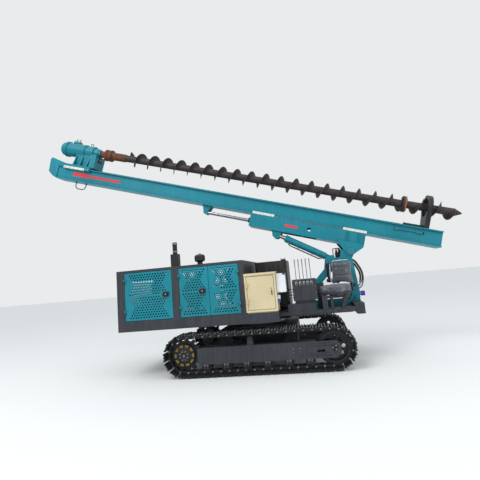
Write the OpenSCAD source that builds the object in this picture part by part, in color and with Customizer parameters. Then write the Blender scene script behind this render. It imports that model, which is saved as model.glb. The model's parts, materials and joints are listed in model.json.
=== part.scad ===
// Crawler rotary piling rig: tracked undercarriage, slewing platform with engine housing,
// tilting and sliding mast, travelling rotary head and continuous flight auger.
// Frame: X towards the mast foot, Y to the left, Z up; origin on the ground under the slew axis.

/* [Undercarriage] */
// Distance between the sprocket and idler axles
wheel_base = 2320; // [2000:10:2700]
// Distance between the two track centre lines
track_gauge = 1730; // [1500:10:2100]
// Width of a track shoe
shoe_w = 400; // [300:10:500]
// Number of shoes in one track
shoe_count = 48; // [40:1:56]
// Radius of the track from the axle to the grouser tips
track_r = 325; // [300:5:380]
// Height of the grousers above the shoe plate
grouser_h = 22; // [15:1:30]
// Thickness of the shoe plate
shoe_t = 12; // [8:1:16]
// Height of the chain link rails under the shoes
link_h = 53; // [45:1:60]
// Width of the track side frame
frame_w = 222; // [180:2:260]
// Height of the underside of the side frame plates
frame_z0 = 180; // [160:5:200]
// Height of the top of the side frame
frame_z1 = 425; // [380:5:440]
// Thickness of the side frame plates
frame_t = 12; // [8:1:16]
// Radius of the bottom rollers
roller_r = 60; // [50:1:65]
// Radius of the carrier roller above the frame
carrier_r = 50; // [40:1:55]

/* [Platform] */
// Height of the underside of the platform
deck_z0 = 740; // [720:5:800]
// Height of the rear deck surface
deck_z1 = 890; // [860:5:940]
// Width of the platform
deck_w = 1900; // [1700:10:2100]
// Rear end of the platform, behind the slew axis
deck_rear = 2250; // [1900:10:2500]
// Front end of the wide rear deck
deck_step = 385; // [330:5:450]
// Width of the narrow front deck
fore_w = 1500; // [1300:10:1700]
// Front end of the nose beam
nose_x = 1700; // [1650:5:1800]
// Outer radius of the slew ring
slew_r = 430; // [350:5:480]

/* [Engine housing] */
// Height of the housing roof
roof_z = 1725; // [1600:5:1800]
// Front end of the housing
housing_front = -113; // [-200:1:0]
// Thickness of the doors
door_t = 32; // [20:1:40]
// Width of the rear door
door_rear_w = 824; // [700:1:900]
// Width of the post between the rear door and the door pair
mid_post_w = 115; // [80:1:150]
// Width of the post at the rear corner
rear_post_w = 133; // [100:1:160]
// Width of the post at the front corner
front_post_w = 77; // [60:1:100]

/* [Mast] */
// Angle of the parked mast below the horizontal, towards its foot
mast_angle = 16.8; // [10:0.1:25]
// Distance of the mast pivot in front of the slew axis
pivot_x = 1640; // [1600:5:1700]
// Height of the mast pivot
pivot_z = 1734; // [1700:1:1800]
// Distance from the pivot up to the underside of the mast
mast_off = 341; // [320:1:380]
// Depth of the mast section
mast_d = 273; // [240:1:300]
// Width of the mast box
mast_w = 250; // [220:2:280]
// Width of the mast rail flanges
flange_w = 330; // [300:2:360]
// Thickness of the mast rail flanges
flange_t = 20; // [16:1:25]
// Length of the mast above the pivot
mast_up = 5885; // [5500:5:6200]
// Length of the mast below the pivot
mast_down = 1420; // [1300:10:1500]
// Depth of the carriage frame
carriage_d = 235; // [200:5:260]
// Length of the carriage above the pivot
carriage_up = 1815; // [1700:5:1900]
// Length of the carriage below the pivot
carriage_down = 199; // [150:1:220]

/* [Rotary drive] */
// Height of the auger axis above the mast
auger_off = 375; // [340:5:420]
// Outer radius of the auger flight
flight_r = 150; // [120:5:155]
// Radius of the auger stem
stem_r = 66.5; // [50:0.5:75]
// Pitch of the auger flight
flight_pitch = 280; // [220:5:320]
// Thickness of the auger flight
flight_t = 12; // [8:1:16]
// Inner radius of the auger guide ring
guide_r = 166; // [160:1:180]

/* [Tilt cylinders] */
// Distance of the base pin in front of the slew axis
base_x = 1310; // [1290:5:1330]
// Height of the base pin
base_z = 1640; // [1630:1:1650]
// Distance of each cylinder from the middle plane
cylinder_y = 105; // [100:1:108]
// Outer radius of the barrels
barrel_r = 56; // [50:1:60]
// Radius of the rods
rod_r = 30; // [25:1:35]

/* [Hidden] */

// Colours
teal = [0.0, 0.53, 0.58];
dark_grey = [0.2, 0.21, 0.24];
black = [0.07, 0.07, 0.08];
beige = [0.78, 0.73, 0.58];
white = [0.88, 0.89, 0.92];
steel = [0.6, 0.6, 0.62];
rust = [0.34, 0.2, 0.14];

// Clearances
seat_gap = 0.3;
slide_gap = 0.5;
move_gap = 6;

// Track geometry
plate_r = track_r - grouser_h;
shoe_in_r = plate_r - shoe_t;
link_in_r = shoe_in_r - link_h;
pitch_r = link_in_r + link_h / 2;
rail_w = 28;
rail_y = 52;
roller_count = 6;
roller_x0 = 350 - wheel_base / 2;
roller_pitch = (wheel_base / 2 - 375 - roller_x0) / (roller_count - 1);
roller_z = track_r - link_in_r + roller_r + seat_gap;
carrier_x = -100;
carrier_z = track_r + link_in_r - carrier_r - seat_gap;
frame_x0 = 220 - wheel_base / 2;
frame_x1 = wheel_base / 2 + 90;
fork_x = wheel_base / 2 - 270;
frame_slot_x = wheel_base / 2 - 242;
frame_slot_len = 80;
frame_slot_r = 18;
frame_rib_x = wheel_base / 2 - 390;
frame_rib_len = 370;
frame_in = frame_w / 2 - frame_t;
idler_axle_r = 28;
sprocket_w = 45;
sprocket_teeth = 13;
sprocket_root = 215;
sprocket_tip = link_in_r + 24;
motor_plate_t = 22;
motor_flange_r = 118;
spigot_r = 100;

// Centre frame
beam_x = 520;
beam_w = 200;
tow_x = beam_x + beam_w / 2 + 60;
tow_r = 25;
tow_z = 390;
tow_t = 30;

// Shoe outline: share of the pitch, height above the shoe plate as a share of the grouser
shoe_outline = [[0.02, -0.1], [0.05, 0], [0.09, 1], [0.17, 1], [0.28, 0.12], [0.46, 0.82],
                [0.54, 0.82], [0.72, 0.12], [0.83, 1], [0.91, 1], [0.95, 0]];
loop_len = 2 * wheel_base + 2 * PI * pitch_r;
shoe_pitch = loop_len / shoe_count;

// Point on the track loop: s along the pitch line from the middle of the lower run, r from the axle
function loop_point(s, r) =
    let (half = wheel_base / 2, turn = PI * pitch_r, u = (s + loop_len) % loop_len)
    u < half ? [u, -r]
    : u < half + turn ? let (a = (u - half) / pitch_r * 180 / PI) [half + r * sin(a), -r * cos(a)]
    : u < half + turn + wheel_base ? [half - (u - half - turn), r]
    : u < 3 * half + 2 * turn
        ? let (a = (u - 3 * half - turn) / pitch_r * 180 / PI) [-half - r * sin(a), r * cos(a)]
    : [u - loop_len, -r];

// Platform geometry
fore_z0 = 795;
fore_z1 = 850;
nose_z0 = 740;
nose_z1 = 905;
nose_len = 150;
nose_w = 1300;
skirt_t = 60;
plate_t = 12;
ring_z0 = 672;

// Housing geometry
wall_t = 60;
side_y = deck_w / 2;
door_z0 = deck_z1 + 16;
door_z1 = roof_z - 40;
door_rear_x = -deck_rear + rear_post_w;
pair_x0 = door_rear_x + door_rear_w + mid_post_w;
pair_x1 = housing_front - front_post_w;
pair_mid = (pair_x0 + pair_x1) / 2;
hinge_r = 13;
hinge_pin_r = 7;
hinge_len = 70;
roof_t = 20;
skin_t = 4;
rim_w = 30;
grille_w = 1300;
grille_z0 = 1080;
grille_z1 = 1560;
engine_x = 350 - deck_rear;
engine_len = 900;

// Cabinet geometry
cabinet_w = 494;
cabinet_d = 360;
cabinet_z0 = 905;
stile = 30;
cabinet_z1 = 1485;
cabinet_x0 = housing_front + 2;

// Punched holes of the doors: each field narrows from its first row to the waist and widens again
punch_r = 12.5;
punch_pitch = 45;
punch_row_h = punch_pitch * sin(60);
punch_waist = 4;
punch_band = 57;
punch_void = 3;

// Console and its levers
console_x = 620;
console_len = 380;
lever_x = 690;
lever_pitch = 59;

// Operator chair: place, turn and width of the backrest
chair_x = 1290;
chair_y = -570;
chair_turn = 236;
backrest_w = 390;

// Tower geometry
tower_y = 185;
tower_t = 20;
ear_t = 20;
pin_r = 40;
base_pin_r = 30;
foot_x = 1650;
foot_z = 970;
tower_top = 1642;
hose_r = 17;
hose_y = -60;
hose_apart = 40;
mast_hose_r = 9;
ear_y = tower_y + tower_t + move_gap;

// Rod eye of the tilt cylinder, in the slew frame
eye_x = 410;
eye_z = 2160;
eye_r = 45;
eye_w = 50;
eye_t = (eye_x - pivot_x) * cos(mast_angle) - (eye_z - pivot_z) * sin(mast_angle);
eye_n = (eye_x - pivot_x) * sin(mast_angle) + (eye_z - pivot_z) * cos(mast_angle);
eye_slot_in = 74;
eye_slot_out = 136;
eye_open = eye_t + 110;
barrel_len = 862;
rod_len = 815;
cylinder_len = norm([eye_x - base_x, eye_z - base_z]);
cylinder_a = atan2(eye_z - base_z, eye_x - base_x);

// Places along the mast, measured from the pivot towards the foot
mast_z0 = mast_off;
mast_z1 = mast_off + mast_d;
axis_z = mast_z1 + auger_off;
carriage_z0 = mast_off - carriage_d;
carriage_y = flange_w / 2 + 25;
web_t = 12;
pad_len = 396;
slide_z = mast_off - 125;
slide_y = 70;
slide_rod_r = 22;
slide_barrel_r = 38;
slide_lug = -2680;
slide_tail = -850;
slide_rod_end = -1350;
slide_pin_r = 16;
chain_z = mast_z1 - 90;
chain_r = 118;
chain_t = 24;
foot_sprocket_t = 1090;
head_sprocket_t = -mast_up - 95;
guide_t = foot_sprocket_t + 60;
guide_len = 80;
saddle_t0 = 145 - mast_up;
saddle_len = 570;
saddle_end = 635;
saddle_pad_len = 455;
head_t0 = saddle_t0 - 245;
head_len = 880;
flight_t0 = head_t0 + 1495;
flight_facets = 16;
coupling_t = 760;
coupling_r = 140;
tip_t = 1700;

// Turns a mast drawing into its parked place: x along the mast, z away from the pivot
module on_mast() {
    translate([pivot_x, 0, pivot_z]) rotate([0, mast_angle, 0]) children();
}

// Extrudes a side view drawn in X and Z to a width centred on y
module side_plate(y, t) {
    translate([0, y + t / 2, 0]) rotate([90, 0, 0]) linear_extrude(t) children();
}

module both_sides() {
    children();
    mirror([0, 1, 0]) children();
}

// Range from a to b on the side of the middle plane that s names
function span(s, a, b) = s > 0 ? [a, b] : [-b, -a];

module block(x, y, z) {
    translate([x[0], y[0], z[0]]) cube([x[1] - x[0], y[1] - y[0], z[1] - z[0]]);
}

module bar_y(x, z, r, y0, y1) {
    translate([x, y1, z]) rotate([90, 0, 0]) cylinder(r = r, h = y1 - y0, $fn = 48);
}

module bar_x(x0, x1, y, z, r) {
    translate([x0, y, z]) rotate([0, 90, 0]) cylinder(r = r, h = x1 - x0, $fn = 48);
}

// Undercarriage
module loop_shape(r) {
    square([wheel_base, 2 * r], center = true);
    for (s = [-1, 1]) translate([s * wheel_base / 2, 0]) circle(r = r, $fn = 64);
}

module track_at(y) {
    outline = [for (i = [0 : shoe_count - 1]) for (p = shoe_outline)
        loop_point((i - 0.5 + p[0]) * shoe_pitch, plate_r + p[1] * grouser_h)];
    color(black) translate([0, 0, track_r]) {
        side_plate(y, shoe_w) difference() {
            polygon(outline);
            loop_shape(shoe_in_r);
        }
        for (s = [-1, 1]) side_plate(y + s * rail_y, rail_w) difference() {
            loop_shape(shoe_in_r + shoe_t / 2);
            loop_shape(link_in_r);
        }
    }
}

module track_right() track_at(-track_gauge / 2);
module track_left() track_at(track_gauge / 2);

// Closed toothed outline with n teeth between radius r0 and r1
function tooth_ring(n, r0, r1) = [
    for (i = [0 : n - 1]) for (p = [[-0.3, r0], [-0.13, r1], [0.13, r1], [0.3, r0]])
        let (a = (i + p[0]) * 360 / n) [p[1] * cos(a), p[1] * sin(a)]
];

// Turns a half profile of radius and height about an axle along Y
module axle_turned(x, z, profile) {
    translate([x, 0, z]) rotate([-90, 0, 0]) rotate_extrude($fn = 64) polygon(profile);
}

// Half profile given from the middle outwards, mirrored to the other end
function two_ended(p) = concat(p, [for (i = [len(p) - 1 : -1 : 0]) [p[i][0], -p[i][1]]]);

module sprockets() {
    color(black) both_sides() translate([0, track_gauge / 2, 0]) {
        translate([-wheel_base / 2, 0, track_r])
            side_plate(0, sprocket_w) polygon(tooth_ring(sprocket_teeth, sprocket_root, sprocket_tip));
        axle_turned(-wheel_base / 2, track_r, [
            [0, -205], [85, -205], [95, -195], [95, -frame_w / 2 - 12], [motor_flange_r, -frame_w / 2 - 12],
            [motor_flange_r, -frame_w / 2 - seat_gap], [spigot_r, -frame_w / 2 - seat_gap],
            [spigot_r, motor_plate_t + seat_gap - frame_w / 2], [150, motor_plate_t + seat_gap - frame_w / 2],
            [150, 0], [165, 0], [165, 62], [152, 72], [125, 72], [125, 84], [110, 95], [0, 95]]);
        translate([-wheel_base / 2, 0, track_r]) for (i = [0 : 9]) side_plate(75, 8)
            polygon([for (p = [[-9, 128], [-12, 162], [12, 162], [9, 128]])
                [p[1] * cos(36 * i + p[0]), p[1] * sin(36 * i + p[0])]]);
    }
}

module idlers() {
    rim = link_in_r - seat_gap;
    color(black) both_sides() translate([0, track_gauge / 2, 0]) difference() {
        axle_turned(wheel_base / 2, track_r, two_ended([
            [0, 108], [idler_axle_r, 108], [idler_axle_r, 75], [62, 75], [62, 20], [196, 20],
            [196, rail_y + rail_w / 2], [rim, rail_y + rail_w / 2], [rim, 30], [rim + 24, 30]]));
        for (a = [0 : 45 : 315])
            bar_y(wheel_base / 2 + 130 * cos(a), track_r + 130 * sin(a), 30, -40, 40);
    }
}

module rollers() {
    color(black) both_sides() translate([0, track_gauge / 2, 0]) {
        for (i = [0 : roller_count - 1]) {
            x = roller_x0 + i * roller_pitch;
            axle_turned(x, roller_z, two_ended([
                [0, 92], [24, 92], [24, 80], [roller_r + 15, 80], [roller_r + 15, rail_y + rail_w / 2 + 3],
                [roller_r, rail_y + rail_w / 2 + 3], [roller_r, 34], [46, 34]]));
            for (s = [-1, 1])
                block([x - 38, x + 38], span(s, 84, frame_w / 2),
                      [roller_z - 30, frame_z0 - seat_gap]);
        }
        axle_turned(carrier_x, carrier_z, two_ended([
            [0, 94], [18, 94], [18, 73], [carrier_r, 73], [carrier_r, 36], [40, 36]]));
    }
}

module track_frames() {
    side = [[frame_x0, 215], [frame_x0 + 40, frame_z0], [frame_x1 - 70, frame_z0], [frame_x1, 240],
            [frame_x1, 365], [frame_x1 - 60, frame_z1], [frame_x0, frame_z1]];
    color(dark_grey) both_sides() translate([0, track_gauge / 2, 0]) {
        for (s = [-1, 1]) side_plate(s * (frame_in + frame_t / 2), frame_t) difference() {
            polygon(side);
            translate([wheel_base / 2, track_r]) circle(r = idler_axle_r + seat_gap, $fn = 48);
            for (x = [frame_slot_x, frame_slot_x + frame_slot_len])
                translate([x, 288]) circle(r = frame_slot_r, $fn = 32);
            translate([frame_slot_x, 288 - frame_slot_r]) square([frame_slot_len, 2 * frame_slot_r]);
        }
        block([frame_x0 + 60, fork_x], [-frame_in, frame_in], [frame_z1 - frame_t, frame_z1]);
        for (i = [0 : roller_count - 2])
            block([roller_x0 + (i + 0.5) * roller_pitch - 6, roller_x0 + (i + 0.5) * roller_pitch + 6],
                  [-frame_in, frame_in], [frame_z0 + 20, frame_z1 - frame_t]);
        for (z = [244, 380])
            block([frame_rib_x, frame_rib_x + frame_rib_len], [frame_w / 2 - 1, frame_w / 2 + 14], [z - 10, z + 10]);
        side_plate(motor_plate_t / 2 - frame_w / 2, motor_plate_t) difference() {
            union() {
                translate([-wheel_base / 2, track_r]) circle(r = 175, $fn = 64);
                polygon([[-wheel_base / 2, track_r - 170], [frame_x0 + 10, frame_z0 + 10],
                         [frame_x0 + 10, frame_z1], [-wheel_base / 2, track_r + 170]]);
            }
            translate([-wheel_base / 2, track_r]) circle(r = spigot_r + seat_gap, $fn = 64);
        }
        for (s = [-1, 1]) side_plate(s * 82, 12) difference() {
            polygon([[carrier_x - 55, frame_z1 - 1], [carrier_x + 55, frame_z1 - 1],
                     [carrier_x + 26, carrier_z + 28], [carrier_x - 26, carrier_z + 28]]);
            translate([carrier_x, carrier_z]) circle(r = 18 + seat_gap, $fn = 48);
        }
    }
}

module carbody() {
    x1 = beam_x - beam_w / 2 - seat_gap;
    color(dark_grey) {
        block([-x1, x1], [-420, 420], [430, 640]);
        translate([0, 0, 630]) difference() {
            cylinder(r = slew_r - 15, h = ring_z0 - slide_gap - 630, $fn = 96);
            translate([0, 0, -1]) cylinder(r = 300, h = 100, $fn = 96);
        }
        translate([0, 0, 400]) cylinder(r = 80, h = deck_z0 - 15 - 400, $fn = 48);
    }
}

// Cross beam with its tow eye, on the side of the slew axis that s names
module cross_beam(s) {
    end_y = track_gauge / 2 - frame_w / 2 - seat_gap;
    color(dark_grey) {
        translate([s * beam_x - beam_w / 2, 0, 0]) rotate([90, 0, 90])
            linear_extrude(beam_w) polygon([
                [-end_y, 230], [-end_y, frame_z1], [-590, 640], [590, 640], [end_y, frame_z1], [end_y, 230],
                [560, 340], [-560, 340]]);
        translate([0, 0, tow_z - tow_t / 2]) difference() {
            linear_extrude(tow_t) union() {
                polygon([[s * (beam_x + beam_w / 2 - 1), -75], [s * tow_x, -50],
                         [s * tow_x, 50], [s * (beam_x + beam_w / 2 - 1), 75]]);
                translate([s * tow_x, 0]) circle(r = 50, $fn = 48);
            }
            translate([s * tow_x, 0, -1]) cylinder(r = tow_r, h = tow_t + 2, $fn = 48);
        }
    }
}

module cross_beam_front() cross_beam(1);
module cross_beam_rear() cross_beam(-1);

// Platform
module slew_ring() {
    color(steel) translate([0, 0, ring_z0]) difference() {
        union() {
            cylinder(r = slew_r, h = 33, $fn = 96);
            cylinder(r = slew_r - 22, h = deck_z0 - ring_z0 - seat_gap, $fn = 96);
        }
        translate([0, 0, -1]) cylinder(r = slew_r - 90, h = 100, $fn = 96);
    }
}

module deck() {
    color(dark_grey) difference() {
        union() {
            difference() {
                block([-deck_rear, deck_step], [-side_y, side_y], [deck_z0, deck_z1]);
                block([skirt_t - deck_rear, deck_step - plate_t], [skirt_t - side_y, side_y - skirt_t],
                      [deck_z0 - 1, deck_z1 - plate_t]);
            }
            difference() {
                block([deck_step - plate_t, nose_x - nose_len], [-fore_w / 2, fore_w / 2], [fore_z0, fore_z1]);
                block([deck_step - 2 * plate_t, nose_x - nose_len - plate_t],
                      [plate_t - fore_w / 2, fore_w / 2 - plate_t], [fore_z0 - 1, fore_z1 - plate_t]);
            }
            for (s = [-1, 1])
                block([skirt_t - deck_rear - 1, nose_x - nose_len], [s * 250 - 25, s * 250 + 25],
                      [deck_z0, fore_z1 - 1]);
            block([-520, 520], [-520, 520], [deck_z0, deck_z0 + plate_t]);
            side_plate(0, nose_w) polygon([
                [nose_x - nose_len - 1, nose_z1], [nose_x - nose_len - 1, fore_z0], [nose_x - 120, nose_z0],
                [nose_x, nose_z0], [nose_x, nose_z1]]);
        }
        translate([0, 0, deck_z0 - 1]) cylinder(r = slew_r - 90, h = plate_t + 2, $fn = 96);
    }
}

// Frame half of a hinge: knuckle, pin and leaf; dir points from the axis to the door
module hinge_frame_half(x, z, dir, leaf) {
    translate([x, side_y + hinge_r + 1, z - hinge_len / 2]) {
        cylinder(r = hinge_r, h = hinge_len / 2 - slide_gap, $fn = 32);
        cylinder(r = hinge_pin_r, h = hinge_len - 4, $fn = 32);
    }
    block(dir > 0 ? [x - leaf, x] : [x, x + leaf], [side_y - 1, side_y + 5],
          [z - hinge_len / 2, z - slide_gap]);
}

// Door half of a hinge, with its bore
module hinge_door_half(x, z, dir, leaf) {
    difference() {
        union() {
            translate([x, side_y + hinge_r + 1, z + slide_gap])
                cylinder(r = hinge_r, h = hinge_len / 2 - slide_gap, $fn = 32);
            block(dir > 0 ? [x, x + leaf] : [x - leaf, x], [side_y - 1, side_y + 5],
                  [z + slide_gap, z + hinge_len / 2]);
        }
        translate([x, side_y + hinge_r + 1, z])
            cylinder(r = hinge_pin_r + slide_gap, h = hinge_len, $fn = 32);
    }
}

// Doors of the housing: start, end, 1 where the hinge is at the start and -1 at the end
door_rows = [[door_rear_x, door_rear_x + door_rear_w, 1], [pair_x0, pair_mid, 1], [pair_mid, pair_x1, -1]];

function hinge_x(row) = row[2] > 0 ? row[0] + move_gap / 2 : row[1] - move_gap / 2;
function hinge_heights(z0, z1) = [z0 + 140, z1 - 140];

function door_x0(row) = row[0] + (row[2] > 0 || row[0] != pair_mid ? move_gap : move_gap / 2);
function door_x1(row) = row[1] - (row[2] < 0 || row[1] != pair_mid ? move_gap : move_gap / 2);

// Centres of the punched holes of one door, seen in X and Z; n holes in the longest row
function punch_points(row, z0, z1, n) =
    let (mid = (row[0] + row[1]) / 2, mid_z = (z0 + z1) / 2, rows = 2 * punch_waist)
    [for (f = [-1, 1]) for (i = [0 : rows])
        let (count = n - punch_waist + abs(i - punch_waist), kept = count - (i == 0 ? punch_void : 0))
        for (k = [0 : kept - 1])
            [mid - row[2] * ((count - 1) / 2 - k) * punch_pitch, mid_z + f * (punch_band / 2 + i * punch_row_h)]];

// Sheet door with a folded rim, hinge halves and, where n isn't 0, punched fields
module door(row, z0, z1, n) {
    x0 = door_x0(row);
    x1 = door_x1(row);
    difference() {
        block([x0, x1], [side_y - door_t, side_y], [z0 + move_gap, z1 - move_gap]);
        block([x0 + rim_w, x1 - rim_w], [side_y - door_t - 1, side_y - skin_t],
              [z0 + move_gap + rim_w, z1 - move_gap - rim_w]);
        if (n > 0) side_plate(side_y - skin_t / 2, skin_t + 2)
            for (p = punch_points(row, z0, z1, n)) translate(p) circle(r = punch_r, $fn = 16);
    }
    for (z = hinge_heights(z0, z1)) hinge_door_half(hinge_x(row), z, row[2], 45);
}

// Paddle latch centred at x and z on the face of a door
module latch(x, z) {
    color(black) block([x - 54, x + 54], [side_y - 1, side_y + 12], [z - 39, z + 39]);
    color(black) block([x - 36, x + 30], [side_y + 11, side_y + 24], [z - 20, z + 22]);
}

module housing_door(side, i, holes) {
    row = door_rows[i];
    color(teal) mirror([0, side < 0 ? 1 : 0, 0]) {
        door(row, door_z0, door_z1, holes);
        if (row[2] > 0) latch(door_x1(row) - 105, (door_z0 + door_z1) / 2);
    }
}

module door_right_rear() housing_door(-1, 0, 15);
module door_right_mid() housing_door(-1, 1, 9);
module door_right_front() housing_door(-1, 2, 9);
module door_left_rear() housing_door(1, 0, 15);
module door_left_mid() housing_door(1, 1, 9);
module door_left_front() housing_door(1, 2, 9);

module housing() {
    z0 = deck_z1 + seat_gap;
    color(dark_grey) {
        difference() {
            block([-deck_rear, housing_front], [-side_y, side_y], [z0, roof_z]);
            block([wall_t - deck_rear, housing_front - wall_t], [wall_t - side_y, side_y - wall_t],
                  [z0 - 1, roof_z - roof_t]);
            for (s = [-1, 1]) for (x = [[door_rear_x, door_rear_x + door_rear_w], [pair_x0, pair_x1]])
                block(x, span(s, side_y - wall_t - 1, side_y + 1),
                      [door_z0, door_z1]);
            block([-deck_rear - 1, wall_t + 1 - deck_rear], [-grille_w / 2, grille_w / 2], [grille_z0, grille_z1]);
        }
        for (z = [grille_z0 + 20 : 45 : grille_z1 - 20])
            translate([wall_t / 2 - deck_rear, 0, z]) rotate([0, 35, 0])
                cube([wall_t, grille_w + 2, 5], center = true);
        both_sides() for (row = door_rows) for (z = hinge_heights(door_z0, door_z1))
            hinge_frame_half(hinge_x(row), z, row[2], 40);
    }
}

module engine() {
    color(steel) {
        block([engine_x, engine_x + engine_len], [-330, 330], [deck_z1 + 120, deck_z1 + 590]);
        for (x = [engine_x + 70, engine_x + engine_len - 130]) for (s = [-1, 1])
            block([x, x + 60], span(s, 250, 320), [deck_z1 + seat_gap, deck_z1 + 121]);
    }
}

module exhaust_stack() {
    color(dark_grey) {
        block([-1410, -1280], [-615, -485], [roof_z + seat_gap, roof_z + 225]);
        translate([-1345, -550, roof_z + 224]) difference() {
            cylinder(r = 40, h = 205, $fn = 48);
            translate([0, 0, 20]) cylinder(r = 36, h = 205, $fn = 48);
        }
    }
}

module air_cleaner() {
    color(black) translate([-910, -550, roof_z + seat_gap]) rotate_extrude($fn = 64)
        polygon([[0, 0], [45, 0], [45, 50], [72, 62], [90, 75], [90, 150], [78, 168], [50, 180], [0, 180]]);
}

// Upright box with rounded vertical edges
module round_box(x, y, z, r) {
    block([x[0] + r, x[1] - r], y, z);
    block(x, [y[0] + r, y[1] - r], z);
    for (cx = [x[0] + r, x[1] - r]) for (cy = [y[0] + r, y[1] - r])
        translate([cx, cy, z[0]]) cylinder(r = r, h = z[1] - z[0], $fn = 48);
}

module oil_tank() {
    color(black) {
        round_box([0, 540], [-350, 600], [905, 1680], 40);
        block([30, deck_step - 30], [-300, 550], [deck_z1 + seat_gap, 906]);
        block([deck_step + 20, 520], [-300, 550], [fore_z1 + seat_gap, 906]);
    }
    color(white) translate([490, -290, 1679]) cylinder(r = 42, h = 50, $fn = 48);
}

module cabinet() {
    x1 = cabinet_x0 + cabinet_w;
    y0 = side_y - cabinet_d;
    color(beige) mirror([0, 1, 0]) {
        difference() {
            block([cabinet_x0, x1], [y0, side_y], [cabinet_z0, cabinet_z1]);
            block([cabinet_x0 + 20, x1 - 20], [y0 + 20, side_y - 40], [cabinet_z0 + 20, cabinet_z1 - 20]);
            block([cabinet_x0 + stile, x1 - stile], [side_y - 41, side_y + 1],
                  [cabinet_z0 + stile, cabinet_z1 - stile]);
        }
        block([cabinet_x0, x1 + 5], [y0, side_y + 12], [cabinet_z1 - 1, cabinet_z1 + 16]);
        block([cabinet_x0, x1 + 5], [side_y + 1, side_y + 12], [cabinet_z1 - 18, cabinet_z1 + 1]);
        block([cabinet_x0 + 15, x1 - 15], [y0 + 15, side_y - 15], [deck_z1 + seat_gap, cabinet_z0 + 1]);
        for (z = hinge_heights(cabinet_z0 + stile, cabinet_z1 - stile))
            hinge_frame_half(cabinet_x0 + stile + move_gap / 2, z, 1, 28);
    }
}

module cabinet_door() {
    x1 = cabinet_x0 + cabinet_w - stile;
    color(beige) mirror([0, 1, 0]) {
        door([cabinet_x0 + stile, x1, 1], cabinet_z0 + stile, cabinet_z1 - stile, 0);
        block([x1 - 52, x1 - 34], [side_y - 1, side_y + 16], [1150, 1230]);
    }
}

module junction_box() {
    x0 = cabinet_x0 + cabinet_w;
    color(white) {
        block([x0 + 6, x0 + 146], [-900, -700], [1175, 1465]);
        for (z = [1200, 1400]) block([x0 + seat_gap, x0 + 7], [-860, -740], [z, z + 40]);
    }
}

module valve_console() {
    color(dark_grey) {
        side_plate(-702, 10) difference() {
            translate([console_x, 1010]) square([console_len, 335]);
            for (i = [0 : 4]) translate([lever_x + i * lever_pitch - 12, 1250]) square([24, 56]);
        }
        block([console_x, console_x + console_len], [-698, -500], [1010, 1225]);
        block([console_x + 20, console_x + console_len - 40], [-680, -520], [960, 1011]);
        block([520, 960], [-740, -480], [fore_z1 + seat_gap, 961]);
        block([console_x + console_len + 1, 1120], [-425, -290], [fore_z1 + seat_gap, 1255]);
    }
}

module levers() {
    for (i = [0 : 4]) translate([lever_x + i * lever_pitch, -600, 1225 + seat_gap]) {
        color(steel) cylinder(r = 6, h = 330, $fn = 24);
        color(steel) translate([0, 0, 325]) cylinder(r1 = 7.5, r2 = 9, h = 115, $fn = 24);
        color(black) cylinder(r1 = 24, r2 = 12, h = 40, $fn = 32);
    }
}

// Chair frame: x forwards for the operator, z up from the ground
module on_chair() {
    translate([chair_x, chair_y, 0]) rotate([0, 0, chair_turn]) children();
}

module operator_mount() {
    color(dark_grey) {
        on_chair() {
            block([-317, 190], [-190, 190], [1072, 1090 - seat_gap]);
            for (s = [-1, 1]) block([-317, -305], [s * 120 - 20, s * 120 + 20], [1080, 1450]);
            for (s = [-1, 1]) block([-200, 190], [s * 150 - 18, s * 150 + 18], [1050, 1073]);
        }
        block([1062, 1142], [-735, -655], [fore_z1 + seat_gap, 1060]);
        block([1062, 1500], [-700, -655], [1010, 1052]);
        for (y = [-700, -470]) side_plate(y, 30) polygon([
            [1340, fore_z1 + seat_gap], [1400, fore_z1 + seat_gap], [1475, 1052], [1415, 1052]]);
        block([1200, 1500], [-485, -440], [1010, 1052]);
        block([1190, 1230], [-700, -440], [fore_z1 + seat_gap, 1052]);
    }
}

module operator_cushion() {
    color(black) on_chair() round_box([-205, 205], [-212, 212], [1090, 1200], 50);
}

module operator_backrest() {
    color(black) on_chair() translate([-305 + seat_gap, 0, 0]) rotate([90, 0, 90])
        linear_extrude(95) union() {
            translate([-backrest_w / 2, 1205]) square([backrest_w, 340]);
            translate([50 - backrest_w / 2, 1205]) square([backrest_w - 100, 390]);
            for (s = [-1, 1]) translate([s * (backrest_w / 2 - 50), 1545]) circle(r = 50, $fn = 48);
        }
}

module armrest() {
    hub_y = backrest_w / 2 + seat_gap;
    color(black) on_chair() {
        bar_y(-232, 1275, 32, -hub_y - 62, -hub_y);
        block([-252, -212], [-hub_y - 50, -hub_y - 20], [1275, 1335]);
        round_box([-260, -204], [-hub_y - 62, -hub_y - 8], [1330, 1560], 20);
    }
}

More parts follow.
